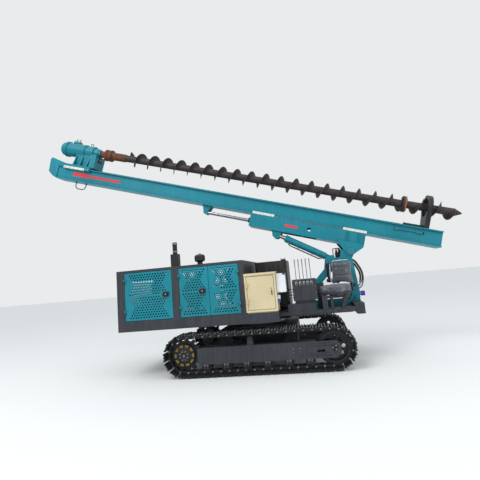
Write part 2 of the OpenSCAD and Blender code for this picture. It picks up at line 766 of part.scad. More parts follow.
module tower() {
    z0 = fore_z1 + seat_gap;
    color(teal) {
        for (s = [-1, 1]) {
            side_plate(s * tower_y, tower_t) difference() {
                union() {
                    polygon([[550, z0], [1178, 1470], [1204, 1600], [1216, 1680], [1240, base_z + 55],
                             [base_x + 46, base_z + 55], [base_x + 60, tower_top], [1452, tower_top],
                             [1476, 1745], [1530, pivot_z + 66], [pivot_x - 30, pivot_z + 60],
                             [pivot_x + 66, pivot_z - 20], [pivot_x + 14, 1620],
                             [foot_x + 58, 1010], [foot_x + 46, foot_z], [foot_x - 52, nose_z1 + 8],
                             [nose_x - nose_len - 8, nose_z1 + 8], [nose_x - nose_len - 8, z0]]);
                    translate([pivot_x, pivot_z]) circle(r = 75, $fn = 64);
                    translate([foot_x, foot_z]) circle(r = 52, $fn = 48);
                }
                polygon([[790, 955], [820, 940], [1530, 940], [1560, 970], [1598, 1110], [1560, 1400],
                         [1530, 1430], [1320, 1430], [1290, 1420]]);
            }
            pin_cap = span(s, ear_y + ear_t / 2 + 3, ear_y + ear_t / 2 + 11);
            bar_y(pivot_x, pivot_z, 56, pin_cap[0], pin_cap[1]);
            side_plate(s * (tower_y + tower_t + 3), tower_t) union() {
                polygon([[foot_x - 60, nose_z1 + seat_gap], [foot_x + 48, nose_z1 + seat_gap],
                         [foot_x + 40, foot_z], [foot_x - 40, foot_z]]);
                translate([foot_x, foot_z]) circle(r = 40, $fn = 48);
            }
        }
        bar_y(pivot_x, pivot_z, pin_r, -ear_y - ear_t / 2 - 4, ear_y + ear_t / 2 + 4);
        bar_y(base_x, base_z, base_pin_r, -tower_y, tower_y);
        bar_y(foot_x, foot_z, 22, -tower_y - tower_t - 24, tower_y + tower_t + 24);
        side_plate(0, 2 * tower_y) {
            polygon([[590, z0], [616, z0], [1200, 1430], [1186, 1444]]);
            polygon([[1672, 1040], [1690, 1040], [1654, 1490], [1636, 1490]]);
        }
        block([1376, 1560], [-tower_y, tower_y], [tower_top - 14, tower_top - 2]);
        block([1548, 1560], [-110, -10], [1540, tower_top - 3]);
        for (p = [hose_route[0], hose_route[len(hose_route) - 1]]) for (d = [-1, 1])
            bar_x(p[0] - 30, p[0] - seat_gap, hose_y, p[1] + d * hose_apart / 2, hose_r + 2);
    }
}

// Hose manifold between the cylinder feet and the mast pivot
module manifold() {
    color(black) {
        block([1390, 1500], [-40, 40], [tower_top - 2 + seat_gap, 1745]);
        for (x = [1415, 1475]) for (y = [-20, 20]) translate([x, y, 1744]) cylinder(r = 15, h = 36, $fn = 32);
    }
}

// Hoses
// Middle line between the two tower hoses in X and Z
hose_route = [[1562, 1588], [1582, 1588], [1602, 1587], [1628, 1581], [1662, 1565], [1690, 1540],
    [1714, 1507], [1738, 1466], [1764, 1420], [1783, 1368], [1791, 1312], [1788, 1256], [1779, 1204],
    [1773, 1165], [1766, 1147], [1753, 1132], [1736, 1123], [1718, 1120], [1710, 1120], [1702, 1120]];
// Route of the hose under the mast, along the mast and away from it
mast_hose_route = [[-5500, 321], [-5500, 298], [-5488, 268], [-5466, 245], [-5434, 231], [-5396, 226],
    [-5356, 229], [-5322, 241], [-5298, 262], [-5284, 282], [-5278, 303], [-5278, 321]];

function unit(v) = v / norm(v);
// Direction of a route at its point i, and the route moved sideways by d
function heading(route, i) = unit(route[min(i + 1, len(route) - 1)] - route[max(i - 1, 0)]);
function beside(route, d) = [for (i = [0 : len(route) - 1])
    let (u = i == 0 || i == len(route) - 1 ? [i == 0 ? 1 : -1, 0] : heading(route, i)) route[i] + d * [-u[1], u[0]]];

// Tube of eight sides along points in a plane of constant y
module flat_hose(route, y, r) {
    n = len(route);
    sides = 8;
    points = [for (i = [0 : n - 1])
        let (d = heading(route, i))
        for (k = [0 : sides - 1]) let (u = r * cos(k * 360 / sides), v = r * sin(k * 360 / sides))
            [route[i][0] - u * d[1], y + v, route[i][1] + u * d[0]]];
    rings = [for (i = [0 : n - 2]) for (k = [0 : sides - 1])
        [i * sides + k, (i + 1) * sides + k, (i + 1) * sides + (k + 1) % sides, i * sides + (k + 1) % sides]];
    polyhedron(points, concat(rings, [[for (k = [0 : sides - 1]) k]],
        [[for (k = [sides - 1 : -1 : 0]) (n - 1) * sides + k]]));
}

module tower_hose_inner() color(black) flat_hose(beside(hose_route, -hose_apart / 2), hose_y, hose_r);
module tower_hose_outer() color(black) flat_hose(beside(hose_route, hose_apart / 2), hose_y, hose_r);
module mast_hose() color(black) on_mast() flat_hose(mast_hose_route, 0, mast_hose_r);

// Tilt cylinders
module on_cylinder() {
    translate([base_x, 0, base_z]) rotate([0, -cylinder_a, 0]) children();
}

module cylinder_barrels() {
    color(teal) on_cylinder() for (s = [-1, 1]) translate([0, s * cylinder_y, 0]) difference() {
        union() {
            bar_y(0, 0, 50, -30, 30);
            block([20, 106], [-30, 30], [-42, 42]);
            bar_x(105, barrel_len, 0, 0, barrel_r);
            bar_x(barrel_len - 55, barrel_len, 0, 0, barrel_r + 4);
        }
        bar_y(0, 0, base_pin_r + slide_gap, -40, 40);
        bar_x(125, barrel_len + 1, 0, 0, rod_r + slide_gap);
    }
}

module cylinder_rods() {
    color(steel) on_cylinder() for (s = [-1, 1]) translate([0, s * cylinder_y, 0]) {
        bar_x(cylinder_len - rod_len, cylinder_len, 0, 0, rod_r);
        bar_y(cylinder_len, 0, eye_r, -eye_w / 2, eye_w / 2);
    }
}

// Carriage
module carriage() {
    z1 = mast_z0 - slide_gap;
    t0 = -carriage_up;
    color(teal) on_mast() {
        for (s = [-1, 1]) {
            side_plate(s * (carriage_y - 9), 18) difference() {
                translate([t0, carriage_z0]) square([carriage_up + carriage_down, z1 - carriage_z0]);
                translate([-748, carriage_z0 + 128]) circle(r = 34, $fn = 48);
            }
            block([t0, carriage_down], span(s, 120, carriage_y), [z1 - 20, z1]);
            side_plate(s * ear_y, ear_t) difference() {
                union() {
                    polygon([[-228, carriage_z0 - 4], [-58, -48], [62, -42], [carriage_down - 10, 88],
                             [carriage_down, 150], [-236, 150]]);
                    circle(r = 75, $fn = 64);
                }
                circle(r = pin_r + slide_gap, $fn = 48);
            }
            block([-228, carriage_down], span(s, carriage_y - 1, ear_y),
                  [carriage_z0, 150]);
            for (t = [-102, 90, carriage_down - 12])
                block([t, t + 12], span(s, carriage_y - 1, ear_y + 8),
                      [149, z1 - 4]);
            for (y = [eye_slot_in - 10, eye_slot_out + 10]) side_plate(s * y, 20) union() {
                translate([eye_t, eye_n]) circle(r = 72, $fn = 48);
                polygon([[eye_t - 72, eye_n], [eye_t + 66, eye_n - 28], [eye_t + 90, carriage_z0 + 1],
                         [eye_t - 90, carriage_z0 + 1]]);
            }
            pin_cap = span(s, eye_slot_out + 19, eye_slot_out + 28);
            bar_y(eye_t, eye_n, 32, pin_cap[0], pin_cap[1]);
        }
        difference() {
            block([t0, carriage_down], [1 - carriage_y, carriage_y - 1], [carriage_z0, carriage_z0 + 12]);
            for (s = [-1, 1])
                block([eye_t - 120, eye_open], span(s, eye_slot_in, eye_slot_out),
                      [carriage_z0 - 1, carriage_z0 + 13]);
            block([eye_open, -600], [18 - carriage_y, carriage_y - 18], [carriage_z0 - 1, carriage_z0 + 13]);
        }
        difference() {
            for (t = [t0, slide_tail, carriage_down - 18])
                block([t, t + 18], [1 - carriage_y, carriage_y - 1], [carriage_z0 + 11, z1 - 1]);
            for (s = [-1, 1])
                bar_x(t0 - 1, t0 + 20, s * slide_y, slide_z, slide_barrel_r + seat_gap);
            block([t0 - 1, carriage_down + 1], [-115, 115], [slide_z + slide_barrel_r + 20, z1 + 1]);
        }
    }
}

module keeper_pads() {
    color(white) on_mast() for (s = [-1, 1]) for (t = [-1790, carriage_down - 384]) {
        block([t, t + pad_len], span(s, flange_w / 2 + 1, carriage_y + 4),
              [mast_z0 + seat_gap - slide_gap, mast_z0 + 42]);
        block([t, t + pad_len], span(s, mast_w / 2 + 10, carriage_y + 4),
              [mast_z0 + flange_t + slide_gap, mast_z0 + 42]);
    }
}

module slide_barrels() {
    color(dark_grey) on_mast() for (s = [-1, 1]) difference() {
        union() {
            bar_x(-carriage_up - 40, slide_tail - seat_gap, s * slide_y, slide_z, slide_barrel_r);
            bar_x(-carriage_up - 40, -carriage_up - seat_gap, s * slide_y, slide_z, slide_barrel_r + 8);
        }
        bar_x(-carriage_up - 41, slide_tail - 50, s * slide_y, slide_z, slide_rod_r + slide_gap);
    }
}

// Mast
module mast() {
    color(teal) on_mast() difference() {
        union() {
            for (z = [mast_z0, mast_z1 - flange_t])
                block([-mast_up, mast_down], [-flange_w / 2, flange_w / 2], [z, z + flange_t]);
            for (s = [-1, 1])
                block([-mast_up, mast_down], span(s, mast_w / 2 - web_t, mast_w / 2),
                      [mast_z0 + 1, mast_z1 - 1]);
            for (t = [-mast_up, mast_down - 14])
                block([t, t + 14], [1 - mast_w / 2, mast_w / 2 - 1], [mast_z0 + 1, mast_z1 - 1]);
            for (t = [mast_hose_route[0][0], mast_hose_route[len(mast_hose_route) - 1][0]])
                translate([t, 0, mast_hose_route[0][1]]) cylinder(r = 22, h = 25, $fn = 32);
        }
        block([-mast_up - 1, 30 - mast_up], [-45, 45], [chain_z - chain_r - 20, chain_z + chain_r]);
        block([foot_sprocket_t - chain_r, foot_sprocket_t + chain_r + 12], [-35, 35],
              [mast_z1 - flange_t - 1, mast_z1 + 1]);
        for (s = [-1, 1]) side_plate(s * mast_w / 2, 40) {
            for (e = [-20, 20]) translate([foot_sprocket_t + e, chain_z]) circle(r = 22, $fn = 32);
            translate([foot_sprocket_t - 20, chain_z - 22]) square([40, 44]);
        }
    }
}

module chain_sprocket(t, w) {
    translate([t, 0, chain_z]) side_plate(0, 24)
        polygon(tooth_ring(18, chain_r - chain_t - seat_gap - 4, chain_r - chain_t - seat_gap));
    bar_y(t, chain_z, 20, -w, w);
}

module chain_tensioner() {
    color(teal) on_mast() {
        chain_sprocket(foot_sprocket_t, mast_w / 2 + 20);
        for (s = [-1, 1]) {
            block([foot_sprocket_t - 75, foot_sprocket_t - 15], span(s, mast_w / 2 + seat_gap, mast_w / 2 + 24),
                  [chain_z - 20, chain_z + 20]);
            bar_x(foot_sprocket_t - 420, foot_sprocket_t - 70, s * (mast_w / 2 + 13), chain_z, 11);
            block([foot_sprocket_t - 440, foot_sprocket_t - 400], span(s, mast_w / 2 + seat_gap, mast_w / 2 + 26),
                  [chain_z - 24, chain_z + 24]);
        }
    }
}

module chain_loop(r) {
    translate([head_sprocket_t, chain_z - r]) square([foot_sprocket_t - head_sprocket_t, 2 * r]);
    for (t = [head_sprocket_t, foot_sprocket_t]) translate([t, chain_z]) circle(r = r, $fn = 64);
}

module feed_chain() {
    color(black) on_mast() side_plate(0, 36) difference() {
        chain_loop(chain_r);
        chain_loop(chain_r - chain_t);
    }
}

module mast_head() {
    color(teal) on_mast() {
        for (s = [-1, 1]) side_plate(s * 134, 16) polygon([
            [-mast_up - seat_gap, mast_z0 + 8], [-mast_up - 80, mast_z0 + 30],
            [-mast_up - 150, mast_z0 + 76], [-mast_up - 196, chain_z - 70],
            [-mast_up - 219, mast_z1 + 92], [-mast_up - 182, mast_z1 + 128],
            [100 - mast_up, mast_z1 + 66], [100 - mast_up, mast_z1 + seat_gap],
            [-mast_up - seat_gap, mast_z1 + seat_gap]]);
        chain_sprocket(head_sprocket_t, 142);
        block([-mast_up - 190, -mast_up - 60], [-127, 127], [mast_z1 + 80, mast_z1 + 92]);
        block([-mast_up - 14, -mast_up - seat_gap], [-127, 127], [mast_z0 + 32, mast_z0 + 60]);
        bar_y(head_sprocket_t, chain_z, 62, 141, 290);
        bar_y(head_sprocket_t, chain_z, 80, 141, 160);
    }
}

module auger_guide() {
    color(black) on_mast() {
        translate([guide_t - guide_len / 2, 0, 0]) rotate([90, 0, 90]) linear_extrude(guide_len) difference() {
            union() {
                translate([0, axis_z]) circle(r = guide_r + 49, $fn = 96);
                polygon([[-150, mast_z1 + seat_gap], [150, mast_z1 + seat_gap],
                         [190, axis_z - 60], [-190, axis_z - 60]]);
            }
            translate([0, axis_z]) circle(r = guide_r, $fn = 96);
            translate([-45, mast_z1]) square([90, 70]);
        }
        for (s = [-1, 1]) bar_x(780, guide_t - guide_len / 2 + 1, s * 100, mast_z1 + 24, 20);
    }
}

// Bracket under the mast that holds the rods of the slide cylinders
module slide_bracket() {
    color(teal) on_mast() {
        block([slide_lug - 75, slide_lug + 80], [-115, 115], [mast_z0 - 20, mast_z0 - seat_gap]);
        for (y = [-101, -39, 39, 101]) side_plate(y, 14) union() {
            translate([slide_lug, slide_z]) circle(r = 38, $fn = 48);
            polygon([[slide_lug - 38, slide_z], [slide_lug + 38, slide_z], [slide_lug + 75, mast_z0 - 19],
                     [slide_lug - 70, mast_z0 - 19]]);
        }
        bar_y(slide_lug, slide_z, slide_pin_r, -110, 110);
    }
}

module slide_rods() {
    color(steel) on_mast() for (s = [-1, 1]) difference() {
        union() {
            bar_x(slide_lug, slide_rod_end, s * slide_y, slide_z, slide_rod_r);
            bar_y(slide_lug, slide_z, 34, s * slide_y - 18, s * slide_y + 18);
        }
        bar_y(slide_lug, slide_z, slide_pin_r + seat_gap, s * slide_y - 30, s * slide_y + 30);
    }
}

// Rotary head and auger
module saddle() {
    t0 = saddle_t0;
    t1 = saddle_t0 + saddle_len;
    z1 = mast_z1 + slide_gap;
    top = axis_z - 20;
    color(teal) on_mast() difference() {
        union() {
            block([t0, t1], [-190, 190], [z1, z1 + 48]);
            for (s = [-1, 1]) {
                block([t0 + saddle_pad_len + seat_gap, t1], span(s, flange_w / 2 + 1, 190), [z1 - 44, z1 + 1]);
                block([t0 + saddle_pad_len + seat_gap, t1], span(s, mast_w / 2 + 10, 190),
                      [z1 - 44, mast_z1 - flange_t - slide_gap]);
                side_plate(s * 95, 20) polygon([[t0 + 134, z1 + 47], [t0 + 161, top], [t0 + saddle_end, top],
                                                [t0 + saddle_end, z1 + 60], [t1 - 10, z1 + 47]]);
            }
            for (t = [t0 + 165, t0 + 305, t0 + 460]) translate([t, 0, 0]) rotate([90, 0, 90])
                linear_extrude(16) polygon([[-178, z1 + 47], [178, z1 + 47], [112, axis_z - 105],
                                            [100, top], [-100, top], [-112, axis_z - 105]]);
            block([t0 + 515, t0 + saddle_end], [-172, 172], [z1 + 36, axis_z - 60]);
        }
        block([t0 - 1, t0 + saddle_end + 1], [-34, 34], [z1 - 1, z1 + 38]);
        bar_x(head_t0, head_t0 + 558, 0, axis_z, 140 + seat_gap);
        bar_x(head_t0 + 550, head_t0 + head_len, 0, axis_z, 130 + seat_gap);
    }
}

// Pale wear pads that hold the saddle on the rail flanges
module saddle_pads() {
    z1 = mast_z1 + slide_gap - seat_gap;
    color(white) on_mast() for (s = [-1, 1]) {
        block([saddle_t0, saddle_t0 + saddle_pad_len], span(s, flange_w / 2 + 1, 194), [z1 - 43, z1]);
        block([saddle_t0, saddle_t0 + saddle_pad_len], span(s, mast_w / 2 + 10, 194),
              [z1 - 43, mast_z1 - flange_t - slide_gap]);
    }
}

module rotary_head() {
    color(teal) on_mast() translate([head_t0, 0, axis_z]) rotate([0, 90, 0]) rotate_extrude($fn = 96)
        polygon([[0, -15], [30, -15], [30, 0], [70, 0], [108, 16], [130, 44], [132, 70], [132, 108],
                 [156, 111], [156, 131], [146, 133], [146, 139], [156, 141], [156, 158], [140, 161],
                 [140, 552], [120, 557], [120, 700], [130, 703], [130, 742], [104, 748], [96, 840],
                 [82, 844], [82, head_len], [0, head_len]]);
}

module auger_stem() {
    t0 = head_t0 + head_len + slide_gap;
    color(rust) on_mast() translate([t0, 0, axis_z]) rotate([0, 90, 0]) rotate_extrude($fn = 64) polygon([
        [0, 0], [64, 0], [64, 96], [88, 104], [116, 114], [116, 158], [98, 164], [98, 206], [116, 212],
        [116, 252], [86, 262], [78, 280], [78, 545], [stem_r, 556],
        [stem_r, coupling_t - 30 - t0], [coupling_r, coupling_t - 30 - t0], [coupling_r, coupling_t + 30 - t0],
        [stem_r, coupling_t + 30 - t0], [stem_r, tip_t - 120 - t0], [12, tip_t - t0], [0, tip_t - t0]]);
}

// Helical flight of constant thickness between two places along the auger
module flight(t0, t1) {
    steps = ceil((t1 - t0) / flight_pitch * flight_facets);
    inner = (stem_r + seat_gap) / cos(180 / flight_facets);
    points = [for (i = [0 : steps]) for (c = [[inner, -1], [flight_r, -1], [flight_r, 1], [inner, 1]])
        let (t = t0 + (t1 - t0 - flight_t) * i / steps, a = 360 * (t - t0) / flight_pitch)
            [t + (1 + c[1]) * flight_t / 2, c[0] * sin(a), axis_z + c[0] * cos(a)]];
    sides = [for (i = [0 : steps - 1]) for (k = [0 : 3])
        let (a = 4 * i + k, b = 4 * i + (k + 1) % 4) each [[a, a + 4, b], [b, a + 4, b + 4]]];
    polyhedron(points, concat([[0, 1, 2, 3]], sides, [[4 * steps + 3, 4 * steps + 2, 4 * steps + 1, 4 * steps]]));
}

module auger_flight() {
    color(dark_grey) on_mast() {
        flight(flight_t0, coupling_t - 31);
        flight(coupling_t + 31, tip_t - 130);
    }
}

carbody();
cross_beam_front();
cross_beam_rear();
track_frames();
track_right();
track_left();
sprockets();
idlers();
rollers();
slew_ring();
deck();
housing();
engine();
exhaust_stack();
air_cleaner();
oil_tank();
cabinet();
junction_box();
valve_console();
levers();
armrest();
operator_mount();
operator_cushion();
operator_backrest();
tower();
manifold();
tower_hose_inner();
tower_hose_outer();
mast_hose();
door_right_rear();
door_right_mid();
door_right_front();
door_left_rear();
door_left_mid();
door_left_front();
cabinet_door();
cylinder_barrels();
cylinder_rods();
carriage();
keeper_pads();
slide_barrels();
mast();
mast_head();
feed_chain();
chain_tensioner();
auger_guide();
slide_bracket();
slide_rods();
saddle();
saddle_pads();
rotary_head();
auger_stem();
auger_flight();
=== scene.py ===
"""Looks of a crawler rotary piling rig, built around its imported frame.

Every piece is in metres in the frame's own axes: X towards the mast foot, Y to the left, Z up.
Places along the mast are given as (t, y, n): t from the tilt pivot towards the foot, n away from it.
"""

import json
import logging
import math
from dataclasses import dataclass, field
from enum import Enum, IntEnum
from typing import Iterable, Sequence

import bmesh
import bpy
from mathutils import Matrix, Vector, noise
from mathutils.bvhtree import BVHTree


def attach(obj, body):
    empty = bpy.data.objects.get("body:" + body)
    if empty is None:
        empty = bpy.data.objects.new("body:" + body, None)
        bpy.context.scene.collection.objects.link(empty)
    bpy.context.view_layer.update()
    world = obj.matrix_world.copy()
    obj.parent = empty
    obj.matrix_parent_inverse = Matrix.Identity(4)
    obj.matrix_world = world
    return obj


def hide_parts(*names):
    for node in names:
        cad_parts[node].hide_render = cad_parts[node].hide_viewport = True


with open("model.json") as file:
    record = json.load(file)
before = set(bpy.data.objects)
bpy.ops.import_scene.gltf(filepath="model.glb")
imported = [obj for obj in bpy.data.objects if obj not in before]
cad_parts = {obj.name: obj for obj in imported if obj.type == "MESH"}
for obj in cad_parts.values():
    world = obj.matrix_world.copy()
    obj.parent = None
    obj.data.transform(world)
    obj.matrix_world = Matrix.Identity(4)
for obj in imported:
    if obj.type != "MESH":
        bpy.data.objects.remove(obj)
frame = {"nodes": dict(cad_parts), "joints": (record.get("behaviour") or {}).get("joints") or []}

LOG = logging.getLogger("piling_rig")
MM = 0.001
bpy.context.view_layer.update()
JOINTS = {joint["name"]: joint for joint in frame["joints"]}
HERE = Matrix.Identity(4)

Point = Sequence[float]
Outline = list[tuple[float, float]]


class Side(IntEnum):
    """The two sides of the machine, as the sign of Y."""

    RIGHT = -1
    LEFT = 1


class Axis(Enum):
    """Turns a shape made along Z so that it lies along another direction."""

    X = Matrix.Rotation(math.pi / 2, 4, "Y")
    Y = Matrix.Rotation(-math.pi / 2, 4, "X")
    Z = HERE
    DOWN = Matrix.Rotation(math.pi, 4, "X")


def moved(x: float, y: float, z: float) -> Matrix:
    """Returns the matrix of a plain move."""
    return Matrix.Translation((x, y, z))


def outward(side: Side) -> Matrix:
    """Returns the turn that makes a shape's Z point out of a side of the machine."""
    return Matrix.Rotation(-side * math.pi / 2, 4, "X")


def on_side(side: Side, x: float, y: float, z: float) -> Matrix:
    """Returns a place at a distance y from the middle plane, with Z out of that side."""
    return moved(x, side * y, z) @ outward(side)


def upright(y: float) -> Matrix:
    """Returns the upright plane along the machine at a distance from its middle: X ahead, Y up."""
    return Matrix(((1, 0, 0, 0), (0, 0, -1, y), (0, 1, 0, 0), (0, 0, 0, 1)))


def facing(place: Vector, along: Vector) -> Matrix:
    """Returns the place whose Z points along a direction."""
    return Matrix.Translation(place) @ along.to_track_quat("Z", "Y").to_matrix().to_4x4()


def mast_matrix() -> Matrix:
    """Returns the matrix from mast places (t, y, n) to the frame, read from the joints."""
    axis = Vector(JOINTS["mast_slide"]["axis"])
    angle = math.atan2(-axis.z, axis.x)
    return Matrix.Translation(JOINTS["mast_tilt"]["pos_m"]) @ Matrix.Rotation(angle, 4, "Y")


MAST = mast_matrix()


def linear(hex_colour: str) -> tuple[float, float, float, float]:
    """Turns an sRGB hex colour, "#rrggbb", into linear RGBA with an alpha of 1."""
    values = [int(hex_colour[i:i + 2], 16) / 255 for i in (1, 3, 5)]
    red, green, blue = [v / 12.92 if v <= 0.04045 else ((v + 0.055) / 1.055) ** 2.4 for v in values]
    return red, green, blue, 1.0


def add_node(tree: bpy.types.NodeTree, kind: str, values: dict | None = None, **links) -> bpy.types.Node:
    """Adds a shader node with its settings and links.

    Args:
        tree: The node tree that gets it.
        kind: The node's type name without the "ShaderNode" prefix.
        values: Settings by name: an input socket's name or number, or a property of the node.
        links: Output sockets by the name of the input that they go to, with _ for a space.

    Returns:
        The new node.
    """
    node = tree.nodes.new("ShaderNode" + kind)
    for key, value in (values or {}).items():
        if isinstance(key, int) or key in node.inputs:
            node.inputs[key].default_value = value
        else:
            setattr(node, key, value)
    for key, socket in links.items():
        tree.links.new(socket, node.inputs[int(key[1:]) if key[1:].isdigit() else key.replace("_", " ")])
    return node


@dataclass(frozen=True)
class Finish:
    """What all finishes share.

    Attributes:
        name: Name of the material.
        colour: Main colour, sRGB hex.
        roughness: Typical roughness of the real surface.
    """

    name: str
    colour: str
    roughness: float

    def material(self) -> bpy.types.Material:
        """Returns the material, which is made at its first use."""
        found = bpy.data.materials.get(self.name)
        if found:
            return found
        work = Shading(self.name, self.roughness)
        self.build(work)
        return work.material

    def build(self, work: "Shading") -> None:
        """Fills the material's node tree. Each finish has its own way."""
        raise NotImplementedError


class Shading:
    """The node tree of one material while it is built."""

    def __init__(self, name: str, roughness: float) -> None:
        """Makes the material with its shader and its coordinates, which are the frame's own."""
        self.material = bpy.data.materials.new(name)
        self.material.use_nodes = True
        self.tree = self.material.node_tree
        self.tree.nodes.clear()
        self.shader = add_node(self.tree, "BsdfPrincipled", {"Roughness": roughness})
        add_node(self.tree, "OutputMaterial", Surface=self.shader.outputs[0])
        self.place = add_node(self.tree, "TexCoord").outputs["Object"]

    def give(self, name: str, value: float | bpy.types.NodeSocket) -> None:
        """Sets an input of the shader, or links a socket to it."""
        if isinstance(value, bpy.types.NodeSocket):
            self.tree.links.new(value, self.shader.inputs[name])
        else:
            self.shader.inputs[name].default_value = value

    def stretched(self, scale: Point) -> bpy.types.NodeSocket:
        """Returns the coordinates drawn out along the axes of a small scale."""
        return add_node(self.tree, "Mapping", {"Scale": scale}, Vector=self.place).outputs[0]

    def noise(self, place: bpy.types.NodeSocket, millimetres: float, detail: float,
              **values) -> bpy.types.NodeSocket:
        """Returns a noise that repeats about every so many millimetres."""
        values = {"Scale": 1 / (millimetres * MM), "Detail": detail, **values}
        return add_node(self.tree, "TexNoise", values, Vector=place).outputs["Fac"]

    def ramp(self, value: bpy.types.NodeSocket, low: float, high: float, start: float = 0.0,
             end: float = 1.0) -> bpy.types.NodeSocket:
        """Returns a value that goes from start to end while another goes from low to high."""
        limits = {"From Min": low, "From Max": high, "To Min": start, "To Max": end}
        return add_node(self.tree, "MapRange", limits, Value=value).outputs[0]

    def mixed(self, share: bpy.types.NodeSocket, first: str | bpy.types.NodeSocket,
              second: str) -> bpy.types.NodeSocket:
        """Returns the mix of two colours, given as hex or, for the first, as a socket."""
        values, links = {"data_type": "RGBA", 7: linear(second)}, {"_0": share}
        if isinstance(first, str):
            values[6] = linear(first)
        else:
            links["_6"] = first
        return add_node(self.tree, "Mix", values, **links).outputs[2]

    def bump(self, height: bpy.types.NodeSocket, strength: float, millimetres: float,
             normal: str = "Normal") -> None:
        """Links a bump of a depth to a normal of the shader."""
        depth = {"Strength": strength, "Distance": millimetres * MM}
        self.give(normal, add_node(self.tree, "Bump", depth, Height=height).outputs[0])


@dataclass(frozen=True)
class MachineEnamel(Finish):
    """Sprayed two-pack enamel on welded plate.

    The gun leaves a faint orange peel, the colour drifts a little over a large panel, yard dust
    lies on what faces up, and small chips show the primer.

    Attributes:
        dust: Colour of the dust, sRGB hex.
        primer: Colour under a chip, sRGB hex.
        dusting: Most that the dust covers, from 0 to 1.
        chips: Noise level above which a chip shows, nearer 1 for fewer chips.
        peel_mm: Spacing of the orange peel, drawn coarser than the real 1 mm so that it shows.
        drift_mm: Spacing of the drift in colour.
        chip_mm: Spacing of the chips.
        streak_mm: Spacing of the streaks in the dust, which run down.
    """

    dust: str = "#8d887c"
    primer: str = "#5a5651"
    dusting: float = 0.35
    chips: float = 0.74
    peel_mm: float = 4.0
    drift_mm: float = 900.0
    chip_mm: float = 22.0
    streak_mm: float = 60.0

    def build(self, work: Shading) -> None:
        """Makes the enamel."""
        work.give("Specular IOR Level", 0.32)
        tone = add_node(work.tree, "HueSaturation", {"Color": linear(self.colour)},
                        Value=work.ramp(work.noise(work.place, self.drift_mm, 3.0), 0.3, 0.7, 0.84, 1.14))
        geometry = add_node(work.tree, "NewGeometry")
        normal = add_node(work.tree, "SeparateXYZ", Vector=geometry.outputs["Normal"])
        streaks = work.noise(work.stretched((1.0, 1.0, 0.16)), self.streak_mm, 4.0)
        cover = add_node(work.tree, "Math", {"operation": "MULTIPLY"},
                         _0=work.ramp(normal.outputs["Z"], -0.2, 1.0, 0.05, self.dusting),
                         _1=work.ramp(streaks, 0.35, 0.75)).outputs[0]
        dusty = work.mixed(cover, tone.outputs[0], self.dust)
        chips = work.noise(work.place, self.chip_mm, 6.0, Roughness=0.7)
        chip = work.ramp(chips, self.chips, self.chips + 0.02)
        work.give("Base Color", work.mixed(chip, dusty, self.primer))
        work.give("Roughness", work.ramp(cover, 0.0, 1.0, self.roughness, min(1.0, self.roughness + 0.35)))
        work.bump(work.noise(work.place, self.peel_mm, 1.0), 0.12, 0.3)


@dataclass(frozen=True)
class WornMetal(Finish):
    """Bare, rusted or scuffed metal: two tones in patches, with a fine grain.

    Attributes:
        second: Colour of the other patches, sRGB hex.
        third: Colour of small dark or bright specks, sRGB hex.
        metallic: Share of bare metal in the main tone.
        patch_mm: Size of the patches.
        grain_mm: Spacing of the grain, drawn coarser than the real one so that it shows.
        relief_mm: Depth of the bump.
        stretch: How much the patches are drawn out along each axis.
    """

    second: str = "#808080"
    third: str = "#303030"
    metallic: float = 1.0
    patch_mm: float = 60.0
    grain_mm: float = 3.0
    relief_mm: float = 0.4
    stretch: tuple[float, float, float] = (1.0, 1.0, 1.0)

    def build(self, work: Shading) -> None:
        """Makes the metal."""
        work.give("Metallic", self.metallic)
        place = work.stretched(self.stretch)
        patches = work.noise(place, self.patch_mm, 5.0, Roughness=0.62)
        base = work.mixed(work.ramp(patches, 0.4, 0.62), self.colour, self.second)
        grain = work.noise(place, self.grain_mm, 3.0)
        work.give("Base Color", work.mixed(work.ramp(grain, 0.58, 0.7, 0.0, 0.7), base, self.third))
        work.give("Roughness", work.ramp(patches, 0.0, 1.0, self.roughness - 0.08, self.roughness + 0.16))
        work.bump(grain, 0.5, self.relief_mm)


@dataclass(frozen=True)
class Moulded(Finish):
    """Moulded plastic or rubber: an even colour with a fine leathery grain and a little dust.

    Attributes:
        dust: Colour of the dust in the grain, sRGB hex.
        grain_mm: Spacing of the grain.
        relief_mm: Depth of the grain.
        specular: Strength of the surface reflection.
    """

    dust: str = "#6d6a63"
    grain_mm: float = 5.0
    relief_mm: float = 0.25
    specular: float = 0.4

    def build(self, work: Shading) -> None:
        """Makes the plastic or rubber."""
        work.give("Specular IOR Level", self.specular)
        share = work.ramp(work.noise(work.place, 120, 4.0), 0.45, 0.8, 0.0, 0.22)
        work.give("Base Color", work.mixed(share, self.colour, self.dust))
        cells = add_node(work.tree, "TexVoronoi", {"Scale": 1 / (self.grain_mm * MM)}, Vector=work.place)
        work.bump(cells.outputs["Distance"], 0.35, self.relief_mm)


